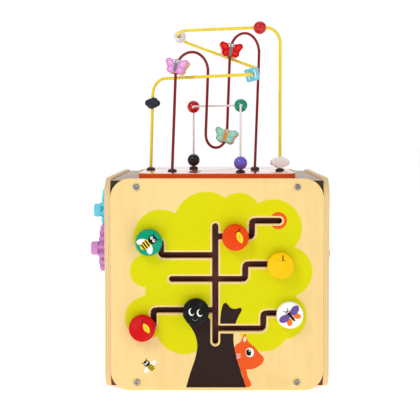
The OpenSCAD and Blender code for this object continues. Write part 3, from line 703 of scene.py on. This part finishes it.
red_route = ([in_red_plane(0, -FOOT), in_red_plane(0, LEAD)] + half_round(0, 56.5, 152, 30)
             + half_round(56.5, 95, 57, -22) + half_round(95, red_run.length, 184, 32)
             + [in_red_plane(red_run.length, LEAD), in_red_plane(red_run.length, -FOOT)])
white_route = bent_route([
    (over(-38, 50, -FOOT), 0), (over(-38, 50, 100), 6), (over(-37.4, 19, 100), 6), (over(36.5, -40, 100), 6),
    (over(35, -72, 100), 6), (over(35, -72, -FOOT), 0)])
print("route points", len(yellow_route), len(red_route), len(white_route))

# %% Tubes along the routes


def rod(name, node, route, diameter, finish):
    line = bpy.data.curves.new(name, "CURVE")
    line.dimensions, line.use_fill_caps = "3D", True
    line.bevel_depth, line.bevel_resolution = diameter / 2 * mm, 5
    spline = line.splines.new("POLY")
    spline.points.add(len(route) - 1)
    for point, place in zip(spline.points, route):
        point.co = (*(place * mm), 1)
    piece = bpy.data.objects.new(name, line)
    bpy.context.scene.collection.objects.link(piece)
    work_on(piece)
    bpy.ops.object.convert(target="MESH")
    bpy.ops.object.mode_set(mode="EDIT")
    bpy.ops.mesh.select_all(action="SELECT")
    bpy.ops.mesh.remove_doubles(threshold=0.002 * mm)
    bpy.ops.mesh.normals_make_consistent(inside=False)
    bpy.ops.object.mode_set(mode="OBJECT")
    bpy.ops.object.shade_smooth_by_angle(angle=math.radians(50))
    piece.data.materials.clear()
    piece.data.materials.append(finish)
    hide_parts(node)
    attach(piece, "cube")
    print(name, len(piece.data.polygons), "faces")
    return piece


rod("yellow_wire_smooth", "yellow_wire", yellow_route, 4.8, yellow_coating)
rod("red_wire_smooth", "red_wire", red_route, 4.4, red_coating)
rod("white_wire_smooth", "white_wire", white_route, 3.2, white_coating)

# %% [markdown]
# ## Beads
# Balls are turned and tumbled, so only their bores have an edge. The clouds and
# butterflies are sawn from board: their two faces are painted and their sawn
# sides stay bare wood, which is why those get a second finish chosen by the
# direction that each face looks. On the white cloud only the sides facing down
# get bare wood, which is partly its sawn edge and partly a painted reflection of
# the orange plate below.

# %% Round beads
for node, body, finish, slot in (
    ("bead_black_ball", "black_ball", gloss["black"], "black_paint"),
    ("bead_purple_ball", "purple_ball", gloss["purple"], "purple_paint"),
    ("bead_white_ball", "white_ball", gloss["white"], "white_paint"),
    ("bead_red_ball_high", "high_red_ball", gloss["red"], "red_paint"),
    ("bead_red_ball_low", "low_red_ball", gloss["red"], "red_paint"),
    ("bead_green_ball", "green_ball", gloss["green"], "green_paint"),
):
    rounded_copy(node, body, finish, 0.4, 2)

# %% Where the shaped beads stand on their wires


def on_wire(place, tilt=0.0, azimuth=0.0, yaw=0.0):
    return (Matrix.Translation(place * mm) @ Matrix.Rotation(math.radians(azimuth), 4, "Z")
            @ Matrix.Rotation(math.radians(tilt), 4, "Y")
            @ Matrix.Rotation(math.radians(yaw - azimuth), 4, "Z"))


red_azimuth = math.degrees(math.atan2(red_run.y, red_run.x))
stand_pink = on_wire(in_red_plane(2.0, 158.5), 14, red_azimuth, -18)
stand_red = on_wire(in_red_plane(95.9, 188), 8, red_azimuth, 8)
stand_mint = on_wire(in_red_plane(93.4, 53), 17, red_azimuth, -14)
leg = over(-101, 16, 143) - over(-105, 16, LEAD)
stand_slate = on_wire(over(-105, 16, LEAD) + leg * (105 - LEAD) / leg.z,
                      math.degrees(math.atan2(leg.x, leg.z)), 0, 6)
stand_cloud = on_wire(over(97, -25, 13), 0, 0, 8)
run = over(54, -50, 146.5) - over(50, -88, 144)
cube_place = over(50, -88, 144) + run * 0.62 - Vector((0, 0, 0.5))
cube_azimuth = math.degrees(math.atan2(run.y, run.x))
stand_cube = on_wire(cube_place, math.degrees(run.angle(Vector((0, 0, 1)))), cube_azimuth, cube_azimuth - 13)
for label, stand in (("pink", stand_pink), ("red", stand_red), ("mint", stand_mint), ("cube", stand_cube)):
    print(label, [round(v / mm, 1) for v in stand.translation])

# %% Clouds, butterflies and the cube
shaped = {}
for node, body, finish, slot, stand in (
    ("bead_slate_cloud", "slate_cloud", satin["slate"], "slate_paint", stand_slate),
    ("bead_white_cloud", "white_cloud", satin["white"], "white_paint", stand_cloud),
    ("butterfly_pink", "pink_butterfly", satin["pink"], "pink_paint", stand_pink),
    ("butterfly_red", "red_butterfly", satin["red"], "red_paint", stand_red),
    ("butterfly_mint", "mint_butterfly", satin["mint"], "mint_paint", stand_mint),
):
    shaped[node] = rounded_copy(node, body, finish, 1.1)
    front = stand.to_3x3() @ Vector((0, -1, 0))
    down = -(stand.to_3x3() @ Vector((0, 0, 1)))
    # White cloud: only its down-facing sides get beech, partly bare sawn wood, partly a painted reflection of
    # the orange plate.
    if node == "bead_white_cloud":
        paint_faces(shaped[node], beech_z, lambda n, c: abs(n.dot(front)) < 0.5 and n.dot(down) > 0.25)
    elif node != "bead_slate_cloud":
        paint_faces(shaped[node], beech_z, lambda n, c: abs(n.dot(front)) < 0.6)
rounded_copy("bead_blue_cube", "blue_cube", satin["sky"],
             rule(1.8, lambda p: 1.8 if (p - cube_place).length > 12 else 0.3))
print("shaped beads", len(shaped) + 1)

# %% [markdown]
# ## Sliding maze, gears, clock and blocks
# Knobs, cranks and the push knob are turned on a lathe and rounded generously
# at the rims a child grips. Gears, hands and blocks are sawn or milled and only
# eased. The rule for each part looks at how far an edge lies from the part's
# own axis.

# %% Knobs and their carriers


def slim_stem(piece, x, z):
    """Scales a stem to 0.965 of its thickness, 0.14 mm off its radius.

    This doesn't clear the ridge that the rounding leaves in a slot's elbow.
    """
    work_on(piece)
    bpy.ops.object.mode_set(mode="EDIT")
    bpy.ops.mesh.select_all(action="DESELECT")
    bpy.ops.object.mode_set(mode="OBJECT")
    for vertex in piece.data.vertices:
        vertex.select = math.hypot(vertex.co.x - x * mm, vertex.co.z - z * mm) < 4.05 * mm
    bpy.ops.object.mode_set(mode="EDIT")
    bpy.ops.transform.resize(value=(0.965, 1, 0.965), center_override=(x * mm, 0, z * mm))
    bpy.ops.object.mode_set(mode="OBJECT")
    print(piece.name, "stem", round(2000 * max(math.hypot(v.co.x - x * mm, v.co.z - z * mm)
                                               for v in piece.data.vertices if v.select), 2),
          "mm across its fillet")


KNOBS = {"teal": (-95, 211.6), "orange": (25.6, 218.6), "yellow": (88.7, 179.4), "red": (-104.5, 91.3),
         "black": (-29.4, 114.4), "white": (101.7, 109.9)}
for colour, (x, z) in KNOBS.items():
    rim = rule(2.2, lambda p, x=x, z=z: 2.2 if math.hypot(p.x - x, p.z - z) > 15 else (
        0.3 if math.hypot(p.x - x, p.z - z) > 6 and p.y > -151 else 0.0))
    rounded_copy("knob_" + colour, colour + "_knob", satin[colour], rim, 4)
    slim_stem(rounded_copy("carrier_" + colour, colour + "_carrier", beech_y, 0.5, 2), x, z)

# %% Gears, their cranks and axles
GEARS = {"lilac": (-33.0, 187.0), "turquoise": (1.104, 241.156), "green": (60.414, 232.081)}
for colour in GEARS:
    finish = satin["dark_green" if colour == "green" else colour]
    slot = ("dark_green" if colour == "green" else colour) + "_paint"
    rounded_copy("gear_" + colour, colour + "_gear", finish, 0.8, 2)
    rounded_copy("crank_" + colour, colour + "_gear", finish,
                 rule(2.4, lambda p: 2.4 if p.x < -189.9 else (1.2 if -178.75 < p.x < -178.45 else 0.0)), 4)
rounded_copy("gear_axles", "cube", beech_x,
             rule(1.2, lambda p: 1.2 if p.x < -181.2 else 0.3))
rounded_copy("gear_spacers", "cube", beech_x, 0.6, 2)

# %% Clock parts
rounded_copy("clock_axle", "cube", beech_x, rule(1.2, lambda p: 1.2 if p.x > 170 else 0.2))
rounded_copy("clock_washer", "cube", beech_x, 0.4, 2)
rounded_copy("hour_hand", "hour_hand", satin["red"], 0.7)
rounded_copy("minute_hand", "minute_hand", satin["teal"], 0.7)
rounded_copy("minute_knob", "minute_hand", beech_x,
             rule(2.6, lambda p: 2.6 if p.x > 183.7 else 0.2), 4)

# %% Turning blocks and what carries them
for name, colour in (("left", "yellow"), ("middle", "turquoise"), ("right", "red")):
    rounded_copy("turning_block_" + name, name + "_block", satin[colour], 1.6)
rounded_copy("block_rod", "cube", beech_x, 0.5, 2)
rounded_copy("block_brackets", "cube", beech_z, 0.8, 2)

# %% [markdown]
# ## The printed pictures
# A screen print is a film of ink, so each colour is drawn as a flat outline,
# given a thickness of some hundredths of a millimetre and laid on its face.
# Later colours lie a little higher, as they do when a second screen is pulled
# over the first. All outlines are in millimetres, to the right and up.

# %% Outlines to draw with
TURN = math.tau


def oval(x, z, rx, rz=None, turn=0.0, count=40):
    rz, t = rz or rx, math.radians(turn)
    dots = [(rx * math.cos(TURN * i / count), rz * math.sin(TURN * i / count)) for i in range(count)]
    return [(x + a * math.cos(t) - b * math.sin(t), z + a * math.sin(t) + b * math.cos(t)) for a, b in dots]


def bar(a, b, r, count=10):
    t = math.atan2(b[1] - a[1], b[0] - a[0])
    half = [t - math.pi / 2 + math.pi * i / count for i in range(count + 1)]
    return ([(b[0] + r * math.cos(s), b[1] + r * math.sin(s)) for s in half]
            + [(a[0] - r * math.cos(s), a[1] - r * math.sin(s)) for s in half])


def eased(points, rounds=3):
    """Cuts an outline's corners again and again, until it is smooth. A point given twice stays sharper."""
    for _ in range(rounds):
        points = [(a[0] * (1 - s) + b[0] * s, a[1] * (1 - s) + b[1] * s)
                  for a, b in zip(points, points[1:] + points[:1]) for s in (0.25, 0.75)]
    return points


def leaf_outline(x, z, length, width, turn, count=14):
    t = math.radians(turn)
    side = [(length * (i / count - 0.5), width / 2 * math.sin(math.pi * i / count) ** 0.8)
            for i in range(count + 1)]
    dots = side + [(a, -b) for a, b in side[-2:0:-1]]
    return [(x + a * math.cos(t) - b * math.sin(t), z + a * math.sin(t) + b * math.cos(t)) for a, b in dots]


def star_outline(x, z, outer, inner, points=5, turn=90.0):
    return [(x + r * math.cos(t), z + r * math.sin(t)) for i in range(2 * points)
            for r, t in [((outer, inner)[i % 2], math.radians(turn) + math.pi * i / points)]]


def moved(shapes, size=1.0, turn=0.0, x=0.0, z=0.0):
    t = math.radians(turn)
    return [(colour, [(x + size * (a * math.cos(t) - b * math.sin(t)),
                       z + size * (a * math.sin(t) + b * math.cos(t)))
                      for a, b in outline]) for colour, outline in shapes]


print("an oval has", len(oval(0, 0, 1)), "points")

# %% Lay a drawing on a face
STAND = Matrix.Rotation(math.radians(90), 4, "X")
FACING = {"front": STAND, "top": Matrix.Identity(4), "rear": Matrix.Rotation(math.pi, 4, "Z") @ STAND,
          "left": Matrix.Rotation(-math.pi / 2, 4, "Z") @ STAND,
          "right": Matrix.Rotation(math.pi / 2, 4, "Z") @ STAND}


def on_face(side, x, y, z):
    return Matrix.Translation((x * mm, y * mm, z * mm)) @ FACING[side]


def flat_shape(name, outline, height, finish):
    line = bpy.data.curves.new(name, "CURVE")
    line.dimensions, line.fill_mode, line.extrude = "2D", "BOTH", height * mm
    spline = line.splines.new("POLY")
    spline.points.add(len(outline) - 1)
    for point, (x, z) in zip(spline.points, outline):
        point.co = (x * mm, z * mm, 0, 1)
    spline.use_cyclic_u = True
    shape = bpy.data.objects.new(name, line)
    bpy.context.scene.collection.objects.link(shape)
    work_on(shape)
    bpy.ops.object.convert(target="MESH")
    bpy.ops.object.mode_set(mode="EDIT")
    bpy.ops.mesh.select_all(action="SELECT")
    bpy.ops.mesh.remove_doubles(threshold=0.001 * mm)
    bpy.ops.mesh.normals_make_consistent(inside=False)
    bpy.ops.object.mode_set(mode="OBJECT")
    shape.data.materials.clear()
    if finish:
        shape.data.materials.append(finish)
    return shape


def picture(name, shapes, place, body, first=0.05, step=0.04, cutter=None):
    parts = [flat_shape(name, outline, first + step * i, ink[colour] if isinstance(colour, str) else colour)
             for i, (colour, outline) in enumerate(shapes)]
    work_on(*parts)
    if len(parts) > 1:
        bpy.ops.object.join()
    piece = parts[0]
    piece.matrix_world = place
    fix_in_place(piece)
    if cutter:
        cut = piece.modifiers.new("slots", "BOOLEAN")
        cut.operation, cut.object, cut.solver, cut.use_self = "DIFFERENCE", cutter, "EXACT", True
        finish_modifiers(piece)
    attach(piece, body)
    return piece


print("faces", list(FACING))

# %% [markdown]
# ### The tree on the front
# The crown is drawn as overlapping circles. Seen from its middle, the outermost
# circle in each direction gives the outline. A bare margin runs along every
# slot, so that the knobs' stems don't rub the print: fat slots are cut out of
# the ink before it is laid down.

# %% Margins along the slots
CENTRE = 150.0
TRUNK = -2.4
SLOTS = [
    [(TRUNK, 83), (TRUNK, -80)],
    [(TRUNK, 68.6), (49, 68.6), (49, 90.6), (87.3, 90.6)],
    [(TRUNK, 42.2), (-78.8, 42.2), (-78.8, 61.6), (-95, 61.6)],
    [(-63.4, 8.4), (39.8, 8.4), (39.8, 29.4), (88.7, 29.4)],
    [(TRUNK, -35.6), (-89.5, -35.6), (-89.5, -58.7), (-104.5, -58.7)],
    [(TRUNK, -61.7), (65.2, -61.7), (65.2, -40.1), (101.7, -40.1)]]
SLOT_HALF, MARGIN = 4.3, 6.9


def slot_piece(a, b, round_a, round_b):
    """A straight stretch: free ends are round, ends at an elbow stop square where the elbow begins."""
    d = (Vector(b) - Vector(a)).normalized()
    n = Vector((-d.y, d.x))
    outline = []
    for p, out, is_round in ((Vector(b), d, round_b), (Vector(a), -d, round_a)):
        side = Vector((out.y, -out.x)) * MARGIN
        if is_round:
            outline += [p + side * math.cos(t) + out * MARGIN * math.sin(t) for t in
                        (math.pi * i / 12 for i in range(13))]
        else:
            outline += [p - out * (SLOT_HALF - 0.2) + side, p - out * (SLOT_HALF - 0.2) - side]
    return [tuple(q) for q in outline]


def elbow(a, b, c):
    """A quarter disc about the inner corner, wide enough to leave the same margin."""
    u, v = (Vector(a) - Vector(b)).normalized(), (Vector(c) - Vector(b)).normalized()
    middle = Vector(b) + (u + v) * SLOT_HALF
    arc = [middle - (v * math.cos(t) + u * math.sin(t)) * (SLOT_HALF + MARGIN) for t in
           (math.pi / 2 * i / 14 for i in range(15))]
    return [tuple(q) for q in [middle] + arc]


fat = []
for route in SLOTS:
    last = len(route) - 1
    for i in range(last):
        fat.append(flat_shape("margin", slot_piece(route[i], route[i + 1], i == 0, i == last - 1), 2.0, None))
    for i in range(1, last):
        fat.append(flat_shape("margin", elbow(*route[i - 1:i + 2]), 2.0, None))
work_on(*fat)
bpy.ops.object.join()
margins = fat[0]
margins.matrix_world = on_face("front", 0, -150, CENTRE)
fix_in_place(margins)
print("margins", len(margins.data.polygons), "faces")

# %% The crown
LOBES = [(-78.5, 218, 38.5), (-15, 236, 45.5), (31, 250, 30), (79, 231, 40), (98, 169, 36), (93, 106, 33),
         (66, 91, 35), (-99.5, 170, 23), (-99.5, 104, 30), (-46, 93, 41), (-71, 142, 30), (0, 160, 80)]
heart_x, heart_z = 0.0, 160.0
crown = []
for i in range(480):
    dx, dz = math.cos(TURN * i / 480), math.sin(TURN * i / 480)
    reach = 0.0
    for x, z, r in LOBES:
        along = (x - heart_x) * dx + (z - heart_z) * dz
        off = (x - heart_x) * dz - (z - heart_z) * dx
        if abs(off) < r:
            reach = max(reach, along + math.sqrt(r * r - off * off))
    crown.append((heart_x + reach * dx, heart_z + reach * dz - CENTRE))
FRONT = on_face("front", 0, -150, CENTRE)
picture("crown_print", [(crown_ink, crown)], FRONT, "cube", first=0.04, cutter=margins)
picture("fruit_print", [("orange", oval(86, 241 - CENTRE, 12.1))], FRONT, "cube", first=0.08, cutter=margins)
print("crown outline", len(crown), "points")

# %% Trunk, stump of a branch and roots
trunk_points = [(-43.7, 4.6), (-43.7, 4.6), (-38, 25), (-31.5, 43), (-28, 58), (-27.6, 68), (-31, 81),
                (-38, 92.5), (-46, 101), (-45, 112), (-38, 120), (-20, 116), (-12, 104), (-6, 98), (4, 97),
                (5.6, 112), (8, 123), (12.5, 125.8), (16, 121.5), (20, 116.8), (27, 116.2), (33.6, 118.8),
                (35.4, 114.6), (29.8, 105.6), (25.6, 94), (23.4, 84), (23, 69), (26.4, 51), (33, 29),
                (41, 4.6), (41, 4.6)]
trunk = eased([(x, z - CENTRE) for x, z in trunk_points])
picture("trunk_print", [("trunk", trunk)], FRONT, "cube", first=0.12, cutter=margins)

# %% [markdown]
# ### A little fox behind the trunk, and a bee
# The animals are made of the plainest shapes: ovals for heads and wings, bars
# for stripes and whiskers. One bee is drawn once and used at two sizes.

# %% Fox
fox = [("orange", eased([(29, 31), (36, 26), (37.5, 8), (38.5, 4.8), (46, 4.8), (48.5, 8), (47, 14), (43, 20),
                         (42, 30), (34, 42)])),
       ("orange", eased([(23.5, 60), (27, 66), (33, 69), (36.5, 77), (39.5, 82), (39.5, 82), (42.5, 74),
                         (44, 69), (54, 62), (60, 53), (67, 47), (64.5, 38.5), (54, 31.5), (42, 29.5),
                         (32, 34), (26, 48)])),
       ("cream", leaf_outline(39.2, 73.2, 9, 4.2, 82)),
       ("white", oval(46.2, 54.5, 5.8, 6.6, 10)), ("black", oval(44.6, 54.4, 3.6, 4.7, 10)),
       ("white", oval(45.8, 56.6, 0.9))]
fox += [("white", bar((27.5, 49 + 3 * i), (33, 50 + 2.2 * i), 0.35)) for i in (-1, 0, 1)]
picture("fox_print", moved(fox, z=-CENTRE), FRONT, "cube", first=0.05)

# %% Bee
spread = [("white", oval(-1.5, 6.2, 5.6, 3.2, 95)), ("white", oval(-1.5, -6.2, 5.6, 3.2, 265))]
swept = [("white", oval(-5.0, 4.8, 5.6, 3.2, 145)), ("white", oval(-3.2, -6.0, 5.4, 3.2, 236))]
bee = [("yellow", oval(-3.5, 0, 6.5, 4.2)),
       ("black", bar((-7.2, -2.6), (-7.2, 2.6), 0.75)), ("black", bar((-4.4, -3.6), (-4.4, 3.6), 0.8)),
       ("black", bar((-1.4, -3.4), (-1.4, 3.4), 0.8)),
       ("black", oval(5, 0, 4.6)), ("white", oval(5.6, 1.9, 1.6)), ("white", oval(5.6, -1.9, 1.6)),
       ("pupil", oval(6.0, 1.8, 0.75)), ("pupil", oval(6.0, -2.0, 0.75)),
       ("black", bar((8, 2.5), (10.4, 4.4), 0.4)), ("black", bar((8, -2.5), (10.4, -4.4), 0.4))]
picture("bee_print", moved(spread + bee, 0.98, 137, -95.5, 35.5 - CENTRE), FRONT, "cube", first=0.05)
print("animals drawn with", len(fox) + len(bee), "shapes")

# %% [markdown]
# ### Pictures on the knobs
# They ride on the knobs, so they slide along with them.

# %% Knob pictures
FACE_Y = -164.9


def knob_picture(colour, shapes):
    x, z = KNOBS[colour]
    piece = picture("print_on_" + colour + "_knob", shapes, on_face("front", x, FACE_Y, z), colour + "_knob",
                    0.03, 0.02)
    return piece


butterfly_drawing = [
    ("wing_orange", oval(5.6, -5.4, 4.4, 3.2, -50)), ("wing_orange", oval(-5.6, -5.4, 4.4, 3.2, 50)),
    ("purple", oval(7.6, 1.6, 6.4, 4.3, 14)), ("purple", oval(-7.6, 1.6, 6.4, 4.3, -14)),
    ("black", oval(0, -2.4, 1.6, 6.0)), ("black", oval(0, 4.2, 3.0, 2.8)),
    ("white", oval(-1.3, 4.8, 1.0)), ("white", oval(1.3, 4.8, 1.0)),
    ("pupil", oval(-1.2, 4.7, 0.45)), ("pupil", oval(1.4, 4.7, 0.45)),
    ("black", bar((-1.2, 6.6), (-3.2, 8.8), 0.35)), ("black", bar((1.2, 6.6), (3.2, 8.8), 0.35))]
knob_picture("teal", moved(swept + bee, 1.34, 38, 0, 0.3))
knob_picture("orange", [("yellow", leaf_outline(6, 0.4, 18, 8.4, 110)),
                        ("stem", bar((0.5, 7.4), (4.6, 9.4), 0.7)),
                        ("stem", bar((4.6, 9.4), (6.2, 12.6), 1.0)), ("stem", bar((4.8, 4), (7, -4), 0.22))])
knob_picture("red", [("yellow", leaf_outline(6.2, 0.8, 16, 7.6, 122)),
                     ("stem", bar((0.4, 8.2), (0.8, 12.4), 0.85)),
                     ("stem", bar((4.8, 3.6), (7.4, -2.4), 0.22))])
knob_picture("yellow", [("stem", bar((2.4, 7.8), (3.2, 14.2), 0.85)),
                        ("stem", bar((2.4, 7.6), (5.6, 7.2), 0.55)),
                        ("wing_orange", bar((-5.5, 8.6), (0.4, 7.4), 0.25))])
knob_picture("black", [("white", oval(-6.0, 0.6, 4.0, 5.2, 8)), ("white", oval(5.4, -0.8, 4.0, 5.2, 8)),
                       ("black", oval(-4.9, 1.4, 3.1, 4.3, 8)), ("black", oval(6.5, 0.0, 3.1, 4.3, 8))]
             + [("grey", bar((4.2 * math.cos(a) - 1.0, 4.2 * math.sin(a) - 7.2),
                             (4.2 * math.cos(b) - 1.0, 4.2 * math.sin(b) - 7.2), 0.38))
                for a, b in ((math.radians(205 + 22 * i), math.radians(227 + 22 * i)) for i in range(6))])
knob_picture("white", moved(butterfly_drawing, 1.22, 40, 0.4, 0))
print("knob pictures", len(KNOBS))

# %% [markdown]
# ### Bodies and eyes of the bead butterflies
# Each butterfly bead has a darker body down its middle and two eyes, printed
# on both painted faces, and a paler patch on each wing.

# %% Butterfly prints


def butterfly_face(body_ink, patch):
    return [(patch, oval(10.5, 4.2, 4.6, 2.6, 38)), (patch, oval(-10.5, 4.2, 4.6, 2.6, -38)),
            (patch, oval(7.5, -5.4, 3.2, 2.3, -30)), (patch, oval(-7.5, -5.4, 3.2, 2.3, 30)),
            (body_ink, oval(0, -2.4, 2.9, 7.4)), (body_ink, oval(0, 6.2, 4.9, 4.2)),
            ("white", oval(-2.5, 6.9, 2.3)), ("white", oval(2.5, 6.9, 2.3)),
            ("pupil", oval(-2.0, 6.8, 1.3)), ("pupil", oval(2.9, 6.8, 1.3))]


light_pink = paint("light_pink_ink", (236, 176, 226), coat=0.1, cloud=0.05)
light_red = paint("light_red_ink", (232, 50, 30), coat=0.1, cloud=0.05)
light_mint = paint("light_mint_ink", (184, 232, 216), coat=0.1, cloud=0.05)
mint_body = paint("amber_ink", (232, 150, 40), coat=0.1, cloud=0.05)
for label, stand, body_ink, patch in (("pink", stand_pink, "grey", light_pink),
                                      ("red", stand_red, "grey", light_red),
                                      ("mint", stand_mint, mint_body, light_mint)):
    for side, turn in (("front", 0.0), ("back", math.pi)):
        place = stand @ Matrix.Rotation(turn, 4, "Z") @ Matrix.Translation((0, -6 * mm, 0)) @ STAND
        picture("print_" + label + "_butterfly_" + side, butterfly_face(body_ink, patch), place,
                label + "_butterfly", 0.03, 0.02)
band = paint("band_ink", (206, 236, 240), coat=0.1, cloud=0.05)
for side, turn in (("near", math.pi), ("far", 0.0)):
    place = stand_cube @ Matrix.Rotation(turn, 4, "X") @ Matrix.Translation((0, 0, 9.75 * mm))
    picture("bands_on_cube_" + side, [(band, bar((-5.6, s * 5.2), (5.6, s * 5.2), 0.9)) for s in (-1, 1)],
            place,
            "blue_cube", 0.03, 0.0)
for side in range(4):
    place = (stand_cube @ Matrix.Rotation(side * math.pi / 2, 4, "Z")
             @ Matrix.Translation((0, -9.75 * mm, 0)) @ STAND)
    picture("bands_on_cube_side_" + str(side),
            [(band, bar((-5.8, s * 3.4), (5.8, s * 3.4), 0.9)) for s in (-1, 0, 1)],
            place, "blue_cube", 0.03, 0.0)
print("bead prints done")

# %% A dark red line on the plate: a painted reflection of the red wire
# The dark red stripe stands in for the red wire's reflection in the glossy top: painted reflection.
picture("plate_line_painted_reflection", [("dark_red", bar((-44, -52), (30, 32), 1.3))], on_face("top", 0, 0, 305), "cube",
        0.04)

# %% [markdown]
# ### The other three sides
# The front's style goes on round the toy: flowers whose heads are the gears, a
# clock face with plain numbers, and a meadow round the window. These sides are
# plain and generic on purpose.

# %% Left side: stems and leaves under the gears
LEFT = on_face("left", -158, 0, 0)
stems = []
for y, z, root in ((-33.0, 187.0, -20), (1.1, 241.2, 8), (60.4, 232.1, 34)):
    route = [(-(root + (y - root) * t ** 2), 16 + (z - 16) * t) for t in (0.0, 0.25, 0.5, 0.75, 1.0)]
    stems += [("green", bar(a, b, 2.4)) for a, b in zip(route, route[1:])]
    for i, (a, b) in enumerate(zip(route[:3], route[1:4])):
        side = (-1) ** i
        stems.append(("green", leaf_outline(a[0] + side * 15, a[1] + 14, 32, 13, 90 - side * 52)))
meadow = eased([(-122, 8), (-122, 8), (122, 8), (122, 8), (118, 30), (80, 24), (46, 34), (4, 26), (-40, 36),
                (-84, 24),
                (-118, 32)])
picture("left_meadow_print", [("green", meadow)] + stems, LEFT, "cube", 0.04, 0.005)
for i, (y, z) in enumerate(((-86, 96), (98, 120), (-98, 236))):
    petals = [("pink" if i % 2 else "wing_orange",
               oval(11 * math.cos(TURN * k / 6), 11 * math.sin(TURN * k / 6), 6.4, 4.6,
                                                       60.0 * k)) for k in range(6)]
    picture("left_flower_print_" + str(i), moved(petals + [("yellow", oval(0, 0, 6))], 1.0, 0, y, z), LEFT,
            "cube",
            0.05, 0.015)
print("left side:", len(stems), "stem shapes")

# %% Right side: the clock face
RIGHT = on_face("right", 158, 0, 150)
dial = [("pale_blue", oval(0, 0, 92, count=120)), ("white", oval(0, 0, 84, count=120))]
dial += [("blue" if k % 3 else "orange",
          oval(76 * math.sin(TURN * k / 12), 76 * math.cos(TURN * k / 12), 2.2 if k % 3 else 3.4))
         for k in range(12)]
dial += [("pale_blue", oval(0, 0, 20))]
picture("dial_print", dial, RIGHT, "cube", 0.04, 0.004)
for hour in range(1, 13):
    words = bpy.data.curves.new("hour_" + str(hour), "FONT")
    words.body, words.size, words.extrude = str(hour), 15 * mm, 0.14 * mm
    words.align_x, words.align_y = "CENTER", "CENTER"
    figure_piece = bpy.data.objects.new("hour_number_" + str(hour), words)
    bpy.context.scene.collection.objects.link(figure_piece)
    work_on(figure_piece)
    bpy.ops.object.convert(target="MESH")
    angle = TURN * hour / 12
    figure_piece.matrix_world = RIGHT @ Matrix.Translation((63 * math.sin(angle) * mm,
                                                            63 * math.cos(angle) * mm, 0))
    fix_in_place(figure_piece)
    figure_piece.data.materials.clear()
    figure_piece.data.materials.append(ink["trunk"])
    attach(figure_piece, "cube")
print("dial with 12 numbers")

# %% Rear: a meadow, a sun and a cloud round the window
REAR = on_face("rear", 0, 150, 0)
hill = eased([(-134, 8), (-134, 8), (134, 8), (134, 8), (132, 60), (90, 76), (40, 58), (-10, 52), (-60, 70),
              (-104, 84),
              (-132, 66)])
grass = [("green", hill),
         ("canopy_green", eased([(-134, 8), (-134, 8), (134, 8), (134, 8), (128, 34), (60, 42),
                                                  (0, 30), (-70, 44), (-130, 36)]))]
picture("rear_meadow_print", grass, REAR, "cube", 0.04, 0.04)
sun = [("yellow", star_outline(0, 0, 34, 24, 14)), ("wing_orange", oval(0, 0, 20)),
       ("yellow", oval(0, 0, 16))]
picture("rear_sun_print", moved(sun, 1.0, 0, -86, 246), REAR, "cube", 0.04, 0.03)
cloud_shapes = [("pale_blue", oval(x, z, rx, rz)) for x, z, rx,
                rz in ((-18, 0, 16, 11), (2, 6, 17, 15), (22, 0, 15, 11),
                                                                    (2, -4, 30, 9))]
picture("rear_cloud_print", moved(cloud_shapes, 1.1, 0, 74, 244), REAR, "cube", 0.04, 0.01)

# %% [markdown]
# ### Twelve small pictures on the turning blocks
# Each block shows another picture on each of its four sides. They are laid on
# the side that faces the rear and then turned about the rod.

# %% Block pictures
apple = [("orange", eased([(0, 9), (8, 12), (14, 4), (11, -9), (4, -13), (0, -11), (-4, -13), (-11, -9),
                           (-14, 4), (-8, 12)])),
         ("stem", bar((0, 9), (1.5, 15), 1.0)), ("green", leaf_outline(6, 14, 10, 5, 20))]
flower = [("pink", oval(10 * math.cos(TURN * k / 5), 10 * math.sin(TURN * k / 5), 7, 5.5, 72.0 * k))
          for k in range(5)]
flower += [("yellow", oval(0, 0, 6))]
mushroom = [("white", eased([(-4, 0), (4, 0), (6, -14), (-6, -14)])),
            ("dark_red", eased([(-16, 0), (-16, 0), (-13, 10), (0, 16), (13, 10), (16, 0), (16, 0)])),
            ("white", oval(-5, 7, 2.6)), ("white", oval(5, 9, 2.2)), ("white", oval(9, 3, 1.8))]
moon = [("yellow", oval(0, 0, 14)), ("blue", oval(6, 3, 11.5))]
fish = [("wing_orange", oval(2, 0, 13, 8)),
        ("wing_orange", eased([(-8, 0), (-17, 8), (-17, 8), (-15, 0), (-17, -8), (-17, -8)], 2)),
        ("white", oval(8, 2, 2.6)), ("pupil", oval(8.6, 2, 1.3)), ("yellow", bar((1, -5), (1, 5), 1.0))]
leaf_picture = [("green", leaf_outline(0, 0, 32, 17, 55)), ("canopy", bar((-7, -10), (7, 10), 0.6))]
star = [("yellow", star_outline(0, 0, 16, 7))]
heart = [("dark_red", eased([(0, 8), (6, 14), (14, 10), (13, 0), (0, -14), (0, -14), (-13, 0), (-14, 10),
                             (-6, 14)]))]
rows = {"left": ([moved(sun, 0.48), moved(bee, 1.5, 20), leaf_picture, mushroom], "white"),
        "middle": ([flower, moved(butterfly_drawing, 1.2), fish, star], "canopy"),
        "right": ([apple, moon, moved(cloud_shapes, 0.5), heart], "white")}
for which, (drawings, ground) in rows.items():
    x = {"left": -57, "middle": 0, "right": 57}[which]
    for k, drawing in enumerate(drawings):
        card = ("blue" if drawing is moon or drawing is star else ground,
                eased([(-20, -20), (-20, -20), (20, -20), (20, -20), (20, 20), (20, 20), (-20, 20),
                       (-20, 20)], 3))
        turned = (Matrix.Translation((x * mm, 135 * mm, 150 * mm)) @ Matrix.Rotation(k * math.pi / 2, 4, "X")
                  @ Matrix.Translation((0, 27 * mm, 0)) @ FACING["rear"])
        picture("print_" + which + "_block_" + str(k), [card] + drawing, turned, which + "_block", 0.03, 0.01)
bpy.data.objects.remove(margins)
print("block pictures", sum(len(d) for d, _ in rows.values()))
